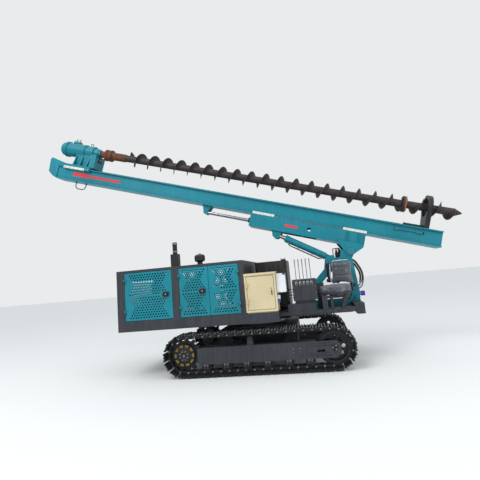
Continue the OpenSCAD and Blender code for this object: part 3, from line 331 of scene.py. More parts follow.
@dataclass(frozen=True)
class WrappedCover(Finish):
    """Woven polyester upholstery under its thin wrapping film.

    The threads cross with a soft sheen. The film lies over them as a glossy coat that is clear
    where it is tight. Its folds are painted pale: partly the film's milkiness, partly a painted highlight.

    Attributes:
        thread: Colour of the raised threads, sRGB hex.
        film: Colour painted on the folds, sRGB hex: the film's milkiness and a painted highlight.
        thread_mm: Spacing of the threads, drawn coarser than the real 1 mm so that it shows.
        fold_mm: Spacing of the film's folds.
        milk_and_highlight: Most that a fold hides of the cloth.
    """

    thread: str = "#5b5f68"
    # Pale colour painted on the folds: the film's milkiness and a painted highlight
    film: str = "#c9d3df"
    thread_mm: float = 4.0
    fold_mm: float = 70.0
    milk_and_highlight: float = 0.5

    def build(self, work: Shading) -> None:
        """Makes the cloth and its film."""
        for name, value in (("Sheen Weight", 0.3), ("Coat Weight", 0.85), ("Coat Roughness", 0.16)):
            work.give(name, value)
        across, along = [add_node(work.tree, "TexWave", {
            "wave_type": "BANDS", "bands_direction": axis, "Distortion": 0.6,
            "Scale": 1 / (self.thread_mm * MM) / (2 * math.pi)}, Vector=work.place).outputs["Fac"]
            for axis in ("X", "Z")]
        weave = add_node(work.tree, "Math", {"operation": "MAXIMUM"}, _0=across, _1=along).outputs[0]
        cloth = work.mixed(weave, self.colour, self.thread)
        folds = work.noise(work.stretched((1.0, 1.0, 0.4)), self.fold_mm, 3.0,
                           noise_type="RIDGED_MULTIFRACTAL", normalize=True)
        # The folds are painted pale over the cloth: the film's milkiness in part, painted highlight in part
        work.give("Base Color", work.mixed(work.ramp(folds, 0.4, 0.85, 0.04, self.milk_and_highlight), cloth, self.film))
        work.bump(weave, 0.4, 0.6)
        work.bump(folds, 0.7, 2.5, "Coat Normal")


# Two-pack enamel in the machine's main colour, and the satin chassis enamel, which takes more dust
DOOR_TEAL = MachineEnamel("door_teal_enamel", "#007b8b", 0.34, dusting=0.1, chips=0.8)
MAST_TEAL = MachineEnamel("mast_teal_enamel", "#007888", 0.36, dusting=0.12, chips=0.76)
CHASSIS_GREY = MachineEnamel("chassis_grey_enamel", "#2f3239", 0.48, dusting=0.22)
CHASSIS_BLACK = MachineEnamel("chassis_black_enamel", "#17181b", 0.42, dusting=0.35)
# Baked powder coat on the sheet steel boxes: smoother than the enamel, hardly chipped
CABINET_BEIGE = MachineEnamel("cabinet_powder_coat", "#cdbf99", 0.45, dusting=0.25, chips=0.84,
                              dust="#a79c82")
BOX_WHITE = MachineEnamel("junction_box_powder_coat", "#dfe2e6", 0.4, dusting=0.2, chips=0.85, dust="#b6b2a6")
SIGNAL_YELLOW = MachineEnamel("final_drive_yellow", "#8a6f2e", 0.55, dusting=0.5, chips=0.58,
                              primer="#26241f")
STRIPE_RED = MachineEnamel("mast_stripe_red", "#d2323a", 0.4, dusting=0.2, chips=0.72, primer="#0d8f9c")
# Forged track parts dipped in black. The grousers' tips are painted pale: partly steel worn bright by the
# ground, partly a painted highlight
TRACK_BLACK = WornMetal("track_black_dip", "#121316", 0.5, second="#26272b", third="#4a4b4e", metallic=0.25)
TIP_WEAR_AND_HIGHLIGHT = WornMetal("rubbed_grouser_steel", "#a4a6a8", 0.42, second="#6a6c6f", third="#c4c6c8",
                       metallic=0.5)
# Zinc plated fasteners are pale and softly bright, machined faces keep the lines of the cutter
ZINC = WornMetal("zinc_plate", "#a3a6a8", 0.34, second="#8a8d90", third="#6d7073", patch_mm=20)
MACHINED = WornMetal("machined_steel", "#8f9296", 0.3, second="#7c7f84", third="#5d6064", patch_mm=120,
                     stretch=(0.2, 1.0, 1.0))
# Ground and hard chromed rod: mirror bright, with the faintest haze of oil
CHROME = WornMetal("hard_chrome", "#c6c9cc", 0.14, second="#b4b8bc", third="#9fa3a8", grain_mm=12,
                   relief_mm=0.02)
# Forged drill parts left bare: brown rust in patches over dark mill scale
COUPLING_RUST = WornMetal("coupling_bright_rust", "#8a5230", 0.75, second="#a8663a", third="#3f2418",
                          metallic=0.15, patch_mm=30, relief_mm=0.8)
RUSTY = WornMetal("rusty_forging", "#553527", 0.72, second="#7b4a30", third="#2d211d", metallic=0.3,
                  patch_mm=45, relief_mm=1.0)
# Rolled flight under a thin dark primer, scuffed by soil
FLIGHT_PRIMER = WornMetal("flight_primer", "#2b2629", 0.55, second="#3b3335", third="#6a5c55", metallic=0.35,
                          patch_mm=70, relief_mm=0.6)
FLIGHT_EDGE = WornMetal("flight_edge", "#5c5250", 0.45, second="#43393a", third="#8d8280", metallic=0.7,
                        patch_mm=30)
HOSE_RUBBER = Moulded("hose_rubber", "#131416", 0.55, grain_mm=2.5)
BLACK_PLASTIC = Moulded("black_plastic", "#15161a", 0.42)
WEAR_STRIP = Moulded("nylon_wear_strip", "#d3d8cd", 0.5, dust="#9d9a86")
PURPLE_CAP = Moulded("purple_plug", "#5a2cae", 0.4, dust="#4a3f78")
WHITE_PLASTIC = Moulded("white_plastic", "#e2e4e6", 0.4, dust="#a8a69e")
GRIP_GREY = Moulded("lever_grip_grey", "#8c9096", 0.5, dust="#6f7174", grain_mm=3.0)
BREAKER_BLUE = Moulded("breaker_blue", "#2a5fae", 0.4, dust="#4a6a94")
GATHERED_FILM = Moulded("gathered_wrapping_film", "#c4ccd6", 0.22, dust="#9aa3ad", grain_mm=9.0,
                        relief_mm=0.8)
UPHOLSTERY = WrappedCover("film_wrapped_upholstery", "#1f2228", 0.85, thread="#3c4048")


def mm(*numbers: float) -> Outline:
    """Returns points from their coordinates in millimetres, two numbers for each point."""
    return [(x * MM, y * MM) for x, y in zip(numbers[::2], numbers[1::2])]


def polar(radius: float, angle: float) -> tuple[float, float]:
    """Returns the point at a distance and an angle, in radians."""
    return radius * math.cos(angle), radius * math.sin(angle)


def circle(radius: float, count: int) -> Outline:
    """Returns evenly spaced points on a circle, which for a count of 6 is a hexagon nut."""
    return [polar(radius, 2 * math.pi * k / count) for k in range(count)]


def fluted(outer: float, inner: float, ribs: int) -> Outline:
    """Returns the outline of a cap with grip ribs."""
    return [polar(outer if k % 2 else inner, math.pi * k / ribs) for k in range(2 * ribs)]


def corners(x: float, y: float) -> Outline:
    """Returns the four corners of a rectangle about the middle."""
    return [(sign_x * x, sign_y * y) for sign_x in (-1, 1) for sign_y in (-1, 1)]


def on_loop(travel: float, run: float, radius: float) -> tuple[float, float, float]:
    """Follows a loop round two equal wheels.

    Args:
        travel: Distance along the loop from the top of the first wheel.
        run: Distance between the wheels.
        radius: Radius of the loop on a wheel.

    Returns:
        Distance from the first wheel, height over the wheels' middle, and angle turned so far.
    """
    bend = math.pi * radius
    s = travel % (2 * (run + bend))
    if s < run:
        return s, radius, 0.0
    if s < run + bend:
        angle = (s - run) / radius
        return run + radius * math.sin(angle), radius * math.cos(angle), angle
    if s < 2 * run + bend:
        return 2 * run + bend - s, -radius, math.pi
    angle = math.pi + (s - 2 * run - bend) / radius
    return radius * math.sin(angle), radius * math.cos(angle), angle


def disc(radius: float, low: float, high: float) -> Outline:
    """Returns the profile of a plain disc."""
    return [(0, low), (radius, low), (radius, high), (0, high)]


def show(name: str, data: bpy.types.ID) -> bpy.types.Object:
    """Puts an object with its data into the scene and returns it."""
    thing = bpy.data.objects.new(name, data)
    bpy.context.scene.collection.objects.link(thing)
    return thing


class Form:
    """Gathers the points and faces of one piece, then makes it a mesh object."""

    def __init__(self) -> None:
        """Starts an empty form."""
        self.points: list[tuple[float, float, float]] = []
        self.faces: list[tuple[int, ...]] = []
        self.marks: list[int] = []

    def add(self, points: Iterable[Point], faces: Sequence[Sequence[int]], place: Matrix = HERE,
            mark: int | Sequence[int] = 0) -> None:
        """Adds a closed patch.

        Args:
            points: Corners of the patch.
            faces: Corner numbers of each face.
            place: Where the patch goes.
            mark: Number of the finish that its faces take, or one number for each face.
        """
        start = len(self.points)
        self.points.extend(tuple(place @ Vector(p)) for p in points)
        self.faces.extend(tuple(start + i for i in face) for face in faces)
        self.marks.extend([mark] * len(faces) if isinstance(mark, int) else mark)

    def stamp(self, other: "Form", places: Iterable[Matrix]) -> None:
        """Adds a copy of another form at each place."""
        for place in places:
            self.add(other.points, other.faces, place, other.marks)

    def loft(self, points: Sequence[Point], sides: int, place: Matrix = HERE,
             mark: int | Sequence[int] = 0) -> None:
        """Adds a skin over rings of points, with flat ends.

        Args:
            points: The rings, one after another.
            sides: Number of points in a ring.
            place: Where the skin goes.
            mark: Number of its finish, or one for each side, with 0 for the ends.
        """
        last = len(points) // sides - 1
        faces = [(r * sides + i, r * sides + (i + 1) % sides, (r + 1) * sides + (i + 1) % sides,
                  (r + 1) * sides + i) for r in range(last) for i in range(sides)]
        faces += [tuple(range(sides - 1, -1, -1)), tuple(last * sides + i for i in range(sides))]
        self.add(points, faces, place, mark if isinstance(mark, int) else [*mark] * last + [0, 0])

    def prism(self, outline: Outline, depth: float, place: Matrix = HERE, mark: int = 0,
              chamfer: float = 0.0) -> None:
        """Adds an outline in X and Y raised along Z.

        Args:
            outline: Corners, anticlockwise.
            depth: Height of the prism.
            place: Where it goes.
            mark: Number of its finish.
            chamfer: Width by which the outline draws in at both ends, for a convex outline.
        """
        n = len(outline)
        middle = Vector((sum(p[0] for p in outline) / n, sum(p[1] for p in outline) / n))
        levels = [(0.0, 0.0), (depth, 0.0)]
        if chamfer:
            levels = [(0.0, chamfer), (chamfer, 0.0), (depth - chamfer, 0.0), (depth, chamfer)]
        points = []
        for z, inset in levels:
            for p in outline:
                offset = Vector(p) - middle
                shrunk = middle + offset * max(0.0, 1 - inset / max(offset.length, 1e-6))
                points.append((shrunk.x, shrunk.y, z))
        self.loft(points, n, place, mark)

    def box(self, low: Point, high: Point, place: Matrix = HERE, mark: int = 0, chamfer: float = 0.0) -> None:
        """Adds a box between two corners, in any order of Y, with its ends chamfered if asked."""
        near, far = sorted((low[1], high[1]))
        outline = [(low[0], near), (high[0], near), (high[0], far), (low[0], far)]
        self.prism(outline, high[2] - low[2], place @ moved(0, 0, low[2]), mark, chamfer)

    def turned(self, profile: Outline, place: Matrix = HERE, sides: int = 32, mark: int = 0) -> None:
        """Adds a form of revolution about Z.

        Args:
            profile: Radius and height from the lower middle round to the upper middle.
            place: Where it goes.
            sides: Number of sides round it.
            mark: Number of its finish.
        """
        points: list[Point] = []
        rings: list[list[int]] = []
        for radius, height in profile:
            whole = radius >= 1e-6
            rings.append([len(points) + k * whole for k in range(sides)])
            ring = circle(radius, sides) if whole else [(0.0, 0.0)]
            points.extend((x, y, height) for x, y in ring)
        faces = []
        for low, high in zip(rings, rings[1:]):
            for k in range(sides):
                unique = list(dict.fromkeys([low[k], low[(k + 1) % sides], high[(k + 1) % sides], high[k]]))
                if len(unique) > 2:
                    faces.append(tuple(unique))
        self.add(points, faces, place, mark)

    def tube(self, path: Sequence[Vector], radius: float, sides: int = 12, mark: int = 0) -> None:
        """Adds a round bar that follows a path, with flat ends."""
        points: list[Point] = []
        side = Vector((0, 1, 0))
        for i, centre in enumerate(path):
            along = (path[min(i + 1, len(path) - 1)] - path[max(i - 1, 0)]).normalized()
            side = side - along * side.dot(along)
            side = side.normalized() if side.length > 0.1 else along.orthogonal().normalized()
            across = along.cross(side)
            points.extend(centre + (side * math.cos(a) + across * math.sin(a)) * radius
                          for a in (2 * math.pi * k / sides for k in range(sides)))
        self.loft(points, sides, mark=mark)

    def bolt(self, place: Matrix, size: float, mark: int = 0) -> None:
        """Adds a washer and a hexagon head along Z. The size is the head's radius over its corners."""
        self.turned(disc(size * 1.3, 0, size * 0.22), place, 14, mark)
        self.prism(circle(size, 6), size * 0.7, place @ moved(0, 0, size * 0.2), mark, size * 0.12)

    def bolt_ring(self, place: Matrix, radius: float, count: int, size: float, mark: int = 0) -> None:
        """Adds evenly spaced bolts on a circle about the Z of a place."""
        for k in range(count):
            turn = Matrix.Rotation(2 * math.pi * (k + 0.5) / count, 4, "Z")
            self.bolt(place @ turn @ moved(radius, 0, 0), size, mark)

    def zinc(self, name: str, body: str = "platform", bevel: float = 0.0) -> None:
        """Makes a piece of zinc plated fittings."""
        self.piece(name, body, "bare_steel", [ZINC], bevel=bevel)

    def piece(self, name: str, body: str, slot: str, finishes: Sequence[Finish], *replaced: str,
              bevel: float = 0.0, smooth_degrees: float = 40.0) -> bpy.types.Object:
        """Makes the mesh object and hangs it on its body.

        Args:
            name: Name of the piece.
            body: The CAD body that it rides on.
            slot: The record's material slot; not used.
            finishes: The finishes, in the order of the marks.
            replaced: The CAD nodes that it stands for.
            bevel: Width of the rounding of sharp edges.
            smooth_degrees: Edges sharper than this stay sharp.

        Returns:
            The new object.
        """
        mesh = bpy.data.meshes.new(name)
        mesh.from_pydata(self.points, [], self.faces)
        for finish in finishes:
            mesh.materials.append(finish.material())
        mesh.polygons.foreach_set("material_index", self.marks)
        tidy = bmesh.new()
        tidy.from_mesh(mesh)
        bmesh.ops.remove_doubles(tidy, verts=tidy.verts, dist=1e-6)
        bmesh.ops.recalc_face_normals(tidy, faces=tidy.faces)
        if bevel:
            edges = [e for e in tidy.edges if len(e.link_faces) == 2 and
                     e.calc_face_angle(0) > math.radians(smooth_degrees)]
            bmesh.ops.bevel(tidy, geom=edges, offset=bevel, segments=2, profile=0.6, affect="EDGES",
                            clamp_overlap=True)
        tidy.to_mesh(mesh)
        tidy.free()
        mesh.shade_smooth()
        mesh.set_sharp_from_angle(angle=math.radians(smooth_degrees))
        piece = show(name, mesh)
        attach(piece, body)
        if replaced:
            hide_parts(*replaced)
        LOG.info("%s: %d faces on %s", name, len(mesh.polygons), body)
        return piece


@dataclass
class Studio:
    """The pale floor, the soft light and the camera at the photograph's viewpoint.

    Attributes:
        eye: Place of the camera, in metres.
        yaw: Turn of the camera to the machine's rear, in degrees.
        pitch: Look upwards, in degrees.
        roll: Tilt of the picture, in degrees.
        focal_px: Focal length in pixels of the frame.
        centre_px: Height in the picture of the camera's axis, from the top.
        frame_px: Width and height of the picture.
        sensor: Width of the sensor, in millimetres.
        reach: Half the width of the floor, in metres.
        backdrop: Colour behind the machine, sRGB hex.
        floor_colour: Colour of the floor, sRGB hex.
    """

    eye: tuple[float, float, float] = (0.93, -7.18, 1.445)
    yaw: float = 9.16
    pitch: float = 9.57
    roll: float = 5.08
    focal_px: float = 396.0
    centre_px: float = 211.07
    frame_px: float = 480.0
    sensor: float = 36.0
    reach: float = 60.0
    backdrop: str = "#e9ebec"
    floor_colour: str = "#dedfdd"

    def camera(self) -> None:
        """Sets the camera."""
        yaw, pitch, roll = (math.radians(a) for a in (self.yaw, self.pitch, self.roll))
        ahead = Vector((-math.sin(yaw) * math.cos(pitch), math.cos(yaw) * math.cos(pitch), math.sin(pitch)))
        level = Vector((math.cos(yaw), math.sin(yaw), 0))
        high = level.cross(ahead)
        right = math.cos(roll) * level - math.sin(roll) * high
        up = math.sin(roll) * level + math.cos(roll) * high
        data = bpy.data.cameras.new("camera")
        data.sensor_width = self.sensor
        data.lens = self.sensor * self.focal_px / self.frame_px
        data.shift_y = (self.centre_px - self.frame_px / 2) / self.frame_px
        camera = show("camera", data)
        camera.matrix_world = Matrix.Translation(self.eye) @ Matrix((right, up, -ahead)).transposed().to_4x4()
        bpy.context.scene.camera = camera

    def lamp(self, name: str, place: Point, aim: Point, size: float, watts: float) -> None:
        """Adds a large soft lamp that points at a place."""
        data = bpy.data.lights.new(name, "AREA")
        data.shape = "DISK"
        data.size = size
        data.energy = watts
        lamp = show(name, data)
        lamp.location = place
        lamp.rotation_euler = (Vector(aim) - Vector(place)).to_track_quat("-Z", "Y").to_euler()

    def world(self) -> None:
        """Sets an overcast sky for the light and a plain backdrop for the view."""
        world = bpy.data.worlds.new("overcast")
        bpy.context.scene.world = world
        world.use_nodes = True
        tree = world.node_tree
        tree.nodes.clear()
        height = add_node(tree, "SeparateXYZ", Vector=add_node(tree, "TexCoord").outputs["Generated"])
        limits = {"From Min": -0.25, "From Max": 0.9, "To Min": 0.42, "To Max": 1.25}
        rise = add_node(tree, "MapRange", limits, Value=height.outputs["Z"])
        sky = add_node(tree, "Background", {"Color": linear("#eef3f8")}, Strength=rise.outputs[0])
        plain = add_node(tree, "Background", {"Color": linear(self.backdrop), "Strength": 1.0})
        seen = add_node(tree, "LightPath").outputs["Is Camera Ray"]
        both = add_node(tree, "MixShader", _0=seen, _1=sky.outputs[0], _2=plain.outputs[0])
        add_node(tree, "OutputWorld", Surface=both.outputs[0])

    def floor(self) -> None:
        """Lays the pale floor under the tracks."""
        mesh = bpy.data.meshes.new("floor")
        edge = self.reach
        mesh.from_pydata([(-edge, -edge, 0), (edge, -edge, 0), (edge, edge, 0), (-edge, edge, 0)], [],
                         [(0, 1, 2, 3)])
        material = bpy.data.materials.new("pale_floor")
        material.use_nodes = True
        shader = material.node_tree.nodes["Principled BSDF"]
        shader.inputs["Base Color"].default_value = linear(self.floor_colour)
        shader.inputs["Roughness"].default_value = 0.85
        mesh.materials.append(material)
        floor = show("floor", mesh)

    def build(self) -> None:
        """Sets up the whole studio."""
        self.camera()
        self.world()
        self.floor()
        self.lamp("key", (-4.0, -7.0, 9.0), (0.0, 0.0, 1.4), 6.0, 520.0)
        self.lamp("fill", (7.0, -5.0, 5.0), (0.5, 0.0, 1.4), 6.0, 170.0)
        bpy.context.scene.view_settings.view_transform = "Standard"


# Distance between a track's axles, of its centre line from the middle plane, and height of the axles
WHEEL_BASE, TRACK_Y, AXLE_Z = 2.32, 0.865, 0.325


@dataclass
class Track:
    """One steel crawler track: rigid shoes bolted to two rows of links.

    Attributes:
        side: Side of the machine.
        shoe_width: Length of a shoe across the track.
        count: Number of shoes.
        pin_radius: Distance of the link pins from the axle at the ends.
        top: Height of the shoe plate's outer face above the pins.
        cut: Width of a shoe's drawn-in ends.
        link_y: Distance of each link row from the centre line.
        link_width: Width of a link row.
        link_half: Half the thickness of a link plate.
    """

    side: Side
    shoe_width: float = 0.4
    count: int = 48
    pin_radius: float = 0.2645
    top: float = 0.0385
    cut: float = 0.016
    link_y: float = 0.052
    link_width: float = 0.024
    link_half: float = 0.006

    @property
    def pitch(self) -> float:
        """Distance between two pins along the loop."""
        return 2 * (WHEEL_BASE + math.pi * self.pin_radius) / self.count

    def pin(self, travel: float) -> Vector:
        """Returns the place of a pin at a distance along the loop from the middle of the lower run."""
        x, z, _ = on_loop(travel + WHEEL_BASE / 2, WHEEL_BASE, self.pin_radius)
        return Vector((x - WHEEL_BASE / 2, self.side * TRACK_Y, AXLE_Z - z))

    def place(self, number: int) -> Matrix:
        """Returns the place of a link between its two pins, X along the track and Z out of the loop."""
        rear, front = self.pin((number - 0.5) * self.pitch), self.pin((number + 0.5) * self.pitch)
        along = (front - rear).normalized()
        across = Vector((0, -1, 0))
        turn = Matrix((along, across, along.cross(across))).transposed().to_4x4()
        return Matrix.Translation((rear + front) / 2) @ turn

    def shoe(self) -> Form:
        """Returns one shoe: a rolled plate with three grousers, cut corners and four bolts."""
        outline = mm(-62, 26.8, 57.5, 26.8, 62.5, 30.5, 61.2, 36.2, 58.3, 38.5, 55.2, 60.3, 44.5, 60.3,
                     40.2, 42.5, 27, 40, 7.8, 42.5, 5.2, 56.5, -5.2, 56.5, -7.8, 42.5, -27, 40,
                     -40.2, 42.5, -44.5, 60.3, -55.2, 60.3, -58.3, 38.5, -63.5, 36.5, -65.5, 31)
        # The grousers' tip faces take the pale tip finish: worn steel in part, painted highlight in part
        tip_wear_highlight_faces = {5, 10, 15}
        half, full, top = self.shoe_width / 2, self.shoe_width / 2 - self.cut, self.top
        rings = [(-half, 0.78, 0.5), (-full, 1.0, 1.0), (full, 1.0, 1.0), (half, 0.78, 0.5)]
        shoe = Form()
        shoe.loft([(x * width, y, top + (z - top) * height if z > top else z)
                   for y, width, height in rings for x, z in outline],
                  len(outline), mark=[int(i in tip_wear_highlight_faces) for i in range(len(outline))])
        for x, y in corners(0.024, self.link_y):
            shoe.prism(circle(0.0125, 6), 0.009, moved(x, y, top + 0.001))
        return shoe

    def link(self) -> Form:
        """Returns the two cranked link plates of one pitch with their bushing and pin."""
        half = self.pitch / 2
        profile = [(-half - 0.019, -0.006), (-half - 0.008, -0.0215), (-0.03, -0.0262), (0.03, -0.0262),
                   (half + 0.008, -0.0215), (half + 0.019, -0.006), (half + 0.019, 0.008),
                   (half + 0.004, 0.02), (0.036, 0.0262), (0.018, 0.019), (-0.018, 0.019),
                   (-0.036, 0.0262), (-half - 0.004, 0.02), (-half - 0.019, 0.008)]
        link = Form()
        for sign in (-1, 1):
            near, far = (sign * (self.link_y + d * self.link_width / 4) for d in (-1, 1))
            link.loft([(x, (near if x < 0 else far) + shift, z)
                       for shift in (-self.link_half, self.link_half) for x, z in profile], len(profile))
        link.turned(mm(0, -67, 12.5, -67, 12.5, -41, 19, -41, 19, 41, 12.5, 41, 12.5, 67, 0, 67),
                    moved(half, 0, 0) @ Axis.Y.value, 14, 1)
        return link

    def build(self) -> None:
        """Makes the track and puts it in place of the CAD loop."""
        name = f"track_{self.side.name.lower()}"
        for word, part, smooth in (("shoes", self.shoe(), 25), ("links", self.link(), 30)):
            form = Form()
            form.stamp(part, (self.place(i) for i in range(self.count)))
            form.piece(f"{name}_{word}", "undercarriage", "track_steel", [TRACK_BLACK, TIP_WEAR_AND_HIGHLIGHT], name,
                       smooth_degrees=smooth)


@dataclass
class RunningGear:
    """What shows on the track frames: final drives, roller brackets, axle caps and the grease cover.

    Attributes:
        lug_y: Distance of the foot of the drive lugs from the centre line.
        lug_height: Height of the yellow caps over the lugs.
        lug_radii: Inner and outer radius of the ring of lugs.
        lug_angles: Half the angle of a lug at those radii.
        lug_count: Number of lugs.
        frame_y: Distance of the side frame's outer face from the centre line.
        rollers: X of the first bottom roller, distance between them, and height of their axles.
        cover: X and Z of the grease cover.
    """

    lug_y: float = 0.0712
    lug_height: float = 0.0086
    lug_radii: tuple[float, float] = (0.1265, 0.1635)
    lug_angles: tuple[float, float] = (0.166, 0.216)
    lug_count: int = 10
    frame_y: float = 0.111
    rollers: tuple[float, float, float] = (-0.81, 0.319, 0.1473)
    cover: tuple[float, float] = (0.6, 0.312)

    @staticmethod
    def spot(side: Side, x: float, y: float, z: float) -> Matrix:
        """Returns a place at a distance y outside a track's centre line, with Z away from the machine."""
        return on_side(side, x, TRACK_Y + y, z)

    def drive(self, side: Side) -> None:
        """Makes the yellow caps of the lugs, the hub cover and its bolts."""
        drive = Form()
        hub, cover, rim = (self.spot(side, -WHEEL_BASE / 2, y, AXLE_Z) for y in (self.lug_y, 0.0945, 0.0605))
        inner, outer = self.lug_radii
        near, far = self.lug_angles
        for k in range(self.lug_count):
            middle = 2 * math.pi * k / self.lug_count
            wedge = [polar(radius, middle + angle)
                     for radius, angle in ((inner, -near), (outer, -far), (outer, far), (inner, near))]
            drive.prism(wedge, self.lug_height, hub, 0, 0.0015)
        drive.turned(mm(0, 0, 88, 0, 88, 4, 80, 8, 34, 9.5, 30, 6.5, 0, 6.5), cover, 48, 2)
        drive.bolt_ring(cover @ moved(0, 0, 0.0085), 0.066, 8, 0.007, 1)
        drive.bolt(cover @ moved(0, 0, 0.0065), 0.012, 1)
        drive.bolt_ring(rim, 0.1585, 20, 0.0045, 1)
        drive.piece(f"final_drive_{side.name.lower()}", "undercarriage", "track_steel",
                    [SIGNAL_YELLOW, ZINC, CHASSIS_BLACK], bevel=0.0006)

    def brackets(self, side: Side) -> None:
        """Makes the bottom rollers' brackets, the idler's axle cap and the grease cover."""
        trim = Form()
        first, step, height = self.rollers
        for i in range(6):
            place = self.spot(side, first + i * step, self.frame_y - 0.001, height)
            place @= Matrix.Rotation(math.pi if side is Side.LEFT else 0, 4, "Z")
            trim.prism(mm(-32, -30, 32, -30, 40.5, 32.5, -40.5, 32.5), 0.006, place, 1, 0.0012)
            trim.turned(mm(0, 5, 21, 5, 21, 9.5, 17, 11.5, 0, 11.5), place @ moved(0, -0.008, 0), 24, 2)
            for x in (-0.027, 0.027):
                trim.bolt(place @ moved(x, 0.02, 0.006), 0.006)
        cap = self.spot(side, WHEEL_BASE / 2, self.frame_y, AXLE_Z)
        trim.turned(mm(0, -2, 50, -2, 50, 6, 44, 10, 0, 10), cap, 36, 2)
        trim.bolt_ring(cap @ moved(0, 0, 0.009), 0.033, 3, 0.008)
        cover = self.spot(side, self.cover[0], self.frame_y, self.cover[1])
        trim.box((-0.06, -0.035, 0), (0.06, 0.035, 0.005), cover, 1, 0.001)
        for x, y in corners(0.05, 0.025):
            trim.bolt(cover @ moved(x, y, 0.005), 0.005)
        trim.piece(f"track_frame_trim_{side.name.lower()}", "undercarriage", "grey_paint",
                   [ZINC, CHASSIS_GREY, TRACK_BLACK], bevel=0.0006)

    def build(self) -> None:
        """Makes the running gear of both sides."""
        for side in Side:
            self.drive(side)
            self.brackets(side)


# Distance of the auger's axis from the tilt pivot, across the mast
AUGER_N = 0.989


def on_axis(t: float, facing: int = 1) -> Matrix:
    """Returns a place on the auger's axis, Z towards the mast's foot or, for a facing of -1, away from it."""
    return MAST @ moved(t, 0, AUGER_N) @ Matrix.Rotation(facing * math.pi / 2, 4, "Y")


@dataclass
class Auger:
    """The continuous flight auger: rolled flights welded to the stem, and its bolted joints.

    Attributes:
        stem_top: Place of the stem's upper end along the mast.
        stem_radius: Radius of the stem.
        flight_radius: Outer radius of the flight.
        pitch: Travel of the flight in one turn.
        flight_top: Place of the flight's upper end.
        coupling: Place of the bolted coupling.
        coupling_half: Half its length.
        tip: Place of the pilot tip.
        cone: Length of the tip's cone.
        plate: Thickness of the flight at its root and at its worn edge.
        bead: Width of the weld bead at its root.
        wear: Mean depth that the soil has worn off the edge.
        ripple: Most that the edge waves along the axis.
        steps: Sections of the flight in one turn.
    """

    stem_top: float = -5.1045
    stem_radius: float = 0.0665
    flight_radius: float = 0.15
    pitch: float = 0.28
    flight_top: float = -4.49
    coupling: float = 0.76
    coupling_half: float = 0.03
    tip: float = 1.7
    cone: float = 0.12
    plate: tuple[float, float] = (0.012, 0.007)
    bead: float = 0.008
    wear: float = 0.0016
    ripple: float = 0.0012
    steps: int = 48

    def flight(self, form: Form, first: float, last: float) -> None:
        """Adds one length of flight.

        Args:
            form: The form that takes it.
            first: Its upper end.
            last: Its lower end.
        """
        root, edge = self.plate
        inner, outer = self.stem_radius - 0.002, self.flight_radius - 0.0004
        shoulder = self.stem_radius + self.bead
        section = [(inner, -root / 2 - self.bead), (shoulder, -root / 2), (outer - 0.012, -edge / 2 - 0.001),
                   (outer, -edge / 2 + 0.001), (outer, edge / 2 - 0.001), (outer - 0.012, edge / 2 + 0.001),
                   (shoulder, root / 2), (inner, root / 2 + self.bead)]
        count = math.ceil((last - first - root) / self.pitch * self.steps)
        points = []
        for i in range(count + 1):
            t = first + (last - first - root) * i / count
            turn = 2 * math.pi * (t - first) / self.pitch
            worn = self.wear * (1 + noise.noise(Vector((t * 9.0, 3.7, 0))))
            ripple = self.ripple * noise.noise(Vector((t * 23.0, 1.3, 0)))
            for k, (radius, shift) in enumerate(section):
                at_edge = 1 < k < 6
                reach = radius - worn * at_edge
                points.append((t + root / 2 + shift + ripple * at_edge, reach * math.sin(turn),
                               AUGER_N + reach * math.cos(turn)))
        form.loft(points, len(section), MAST, [1, 0, 2, 2, 2, 0, 1, 1])

    def forging(self) -> None:
        """Makes the rusty forging at the head, with its two flanges and their bolts."""
        forging = Form()
        forging.turned(mm(0, 0, 61, 0, 64, 3, 64, 92, 70, 98, 88, 104, 113, 112.5, 116, 116, 116, 155,
                          113, 158, 100, 163, 98, 167, 98, 203, 100, 207, 113, 212, 116, 215, 116, 249,
                          113, 252, 88, 261, 80, 274, 78, 282, 78, 540, 75, 545.5, 66.5, 556, 0, 556),
                       on_axis(self.stem_top), 64)
        forging.bolt_ring(on_axis(self.stem_top + 0.109, -1), 0.1, 10, 0.0095, 1)
        forging.bolt_ring(on_axis(self.stem_top + 0.2555), 0.1, 10, 0.0095, 1)
        forging.piece("stem_forging", "auger", "stem_steel", [RUSTY, TRACK_BLACK], "auger_stem", bevel=0.0005)

    def tube(self) -> None:
        """Makes the dark tube in its two lengths, with weld beads at their ends, and the pilot tip."""
        tube, radius, cone = Form(), self.stem_radius, self.tip - self.cone
        bead = [(radius, -0.006), (radius + 0.0035, -0.003), (radius + 0.0035, 0.003), (radius, 0.006)]
        for low, high in ((self.stem_top + 0.54, self.coupling - self.coupling_half),
                          (self.coupling + self.coupling_half, cone)):
            beads = [(r, place + z) for place in (0.02, high - low - 0.012) for r, z in bead]
            tube.turned([(0, 0), (radius, 0), *beads, (radius, high - low), (0, high - low)],
                        on_axis(low), 48)
        tube.turned(mm(0, -2, 66.5, 0, 12, 117, 8, 120, 0, 120), on_axis(cone), 48)
        for k in range(2):
            turn = Matrix.Rotation(math.pi * k, 4, "Z") @ Axis.X.value
            tube.prism(mm(-18, 0, -18, 34, 18, 62, 18, 0), 0.012,
                       on_axis(cone + 0.045) @ turn @ moved(0, 0, -0.006), 1)
        tube.piece("stem_tube", "auger", "stem_steel", [FLIGHT_PRIMER, FLIGHT_EDGE], "auger_stem")

    def flanges(self) -> None:
        """Makes the two flanges of the coupling, the lower one bright with rust."""
        joint = Form()
        for mark, facing in enumerate((-1, 1)):
            joint.turned(mm(0, 0.5, 138, 0.5, 140, 2.5, 140, 27.5, 138, 30, 66.5, 30, 0, 30),
                         on_axis(self.coupling, facing), 56, mark)
            face = on_axis(self.coupling + facing * self.coupling_half, facing)
            joint.bolt_ring(face, 0.112, 10, 0.013, mark)
        joint.piece("coupling_flanges", "auger", "stem_steel", [FLIGHT_PRIMER, COUPLING_RUST], "auger_stem",
                    bevel=0.0008)

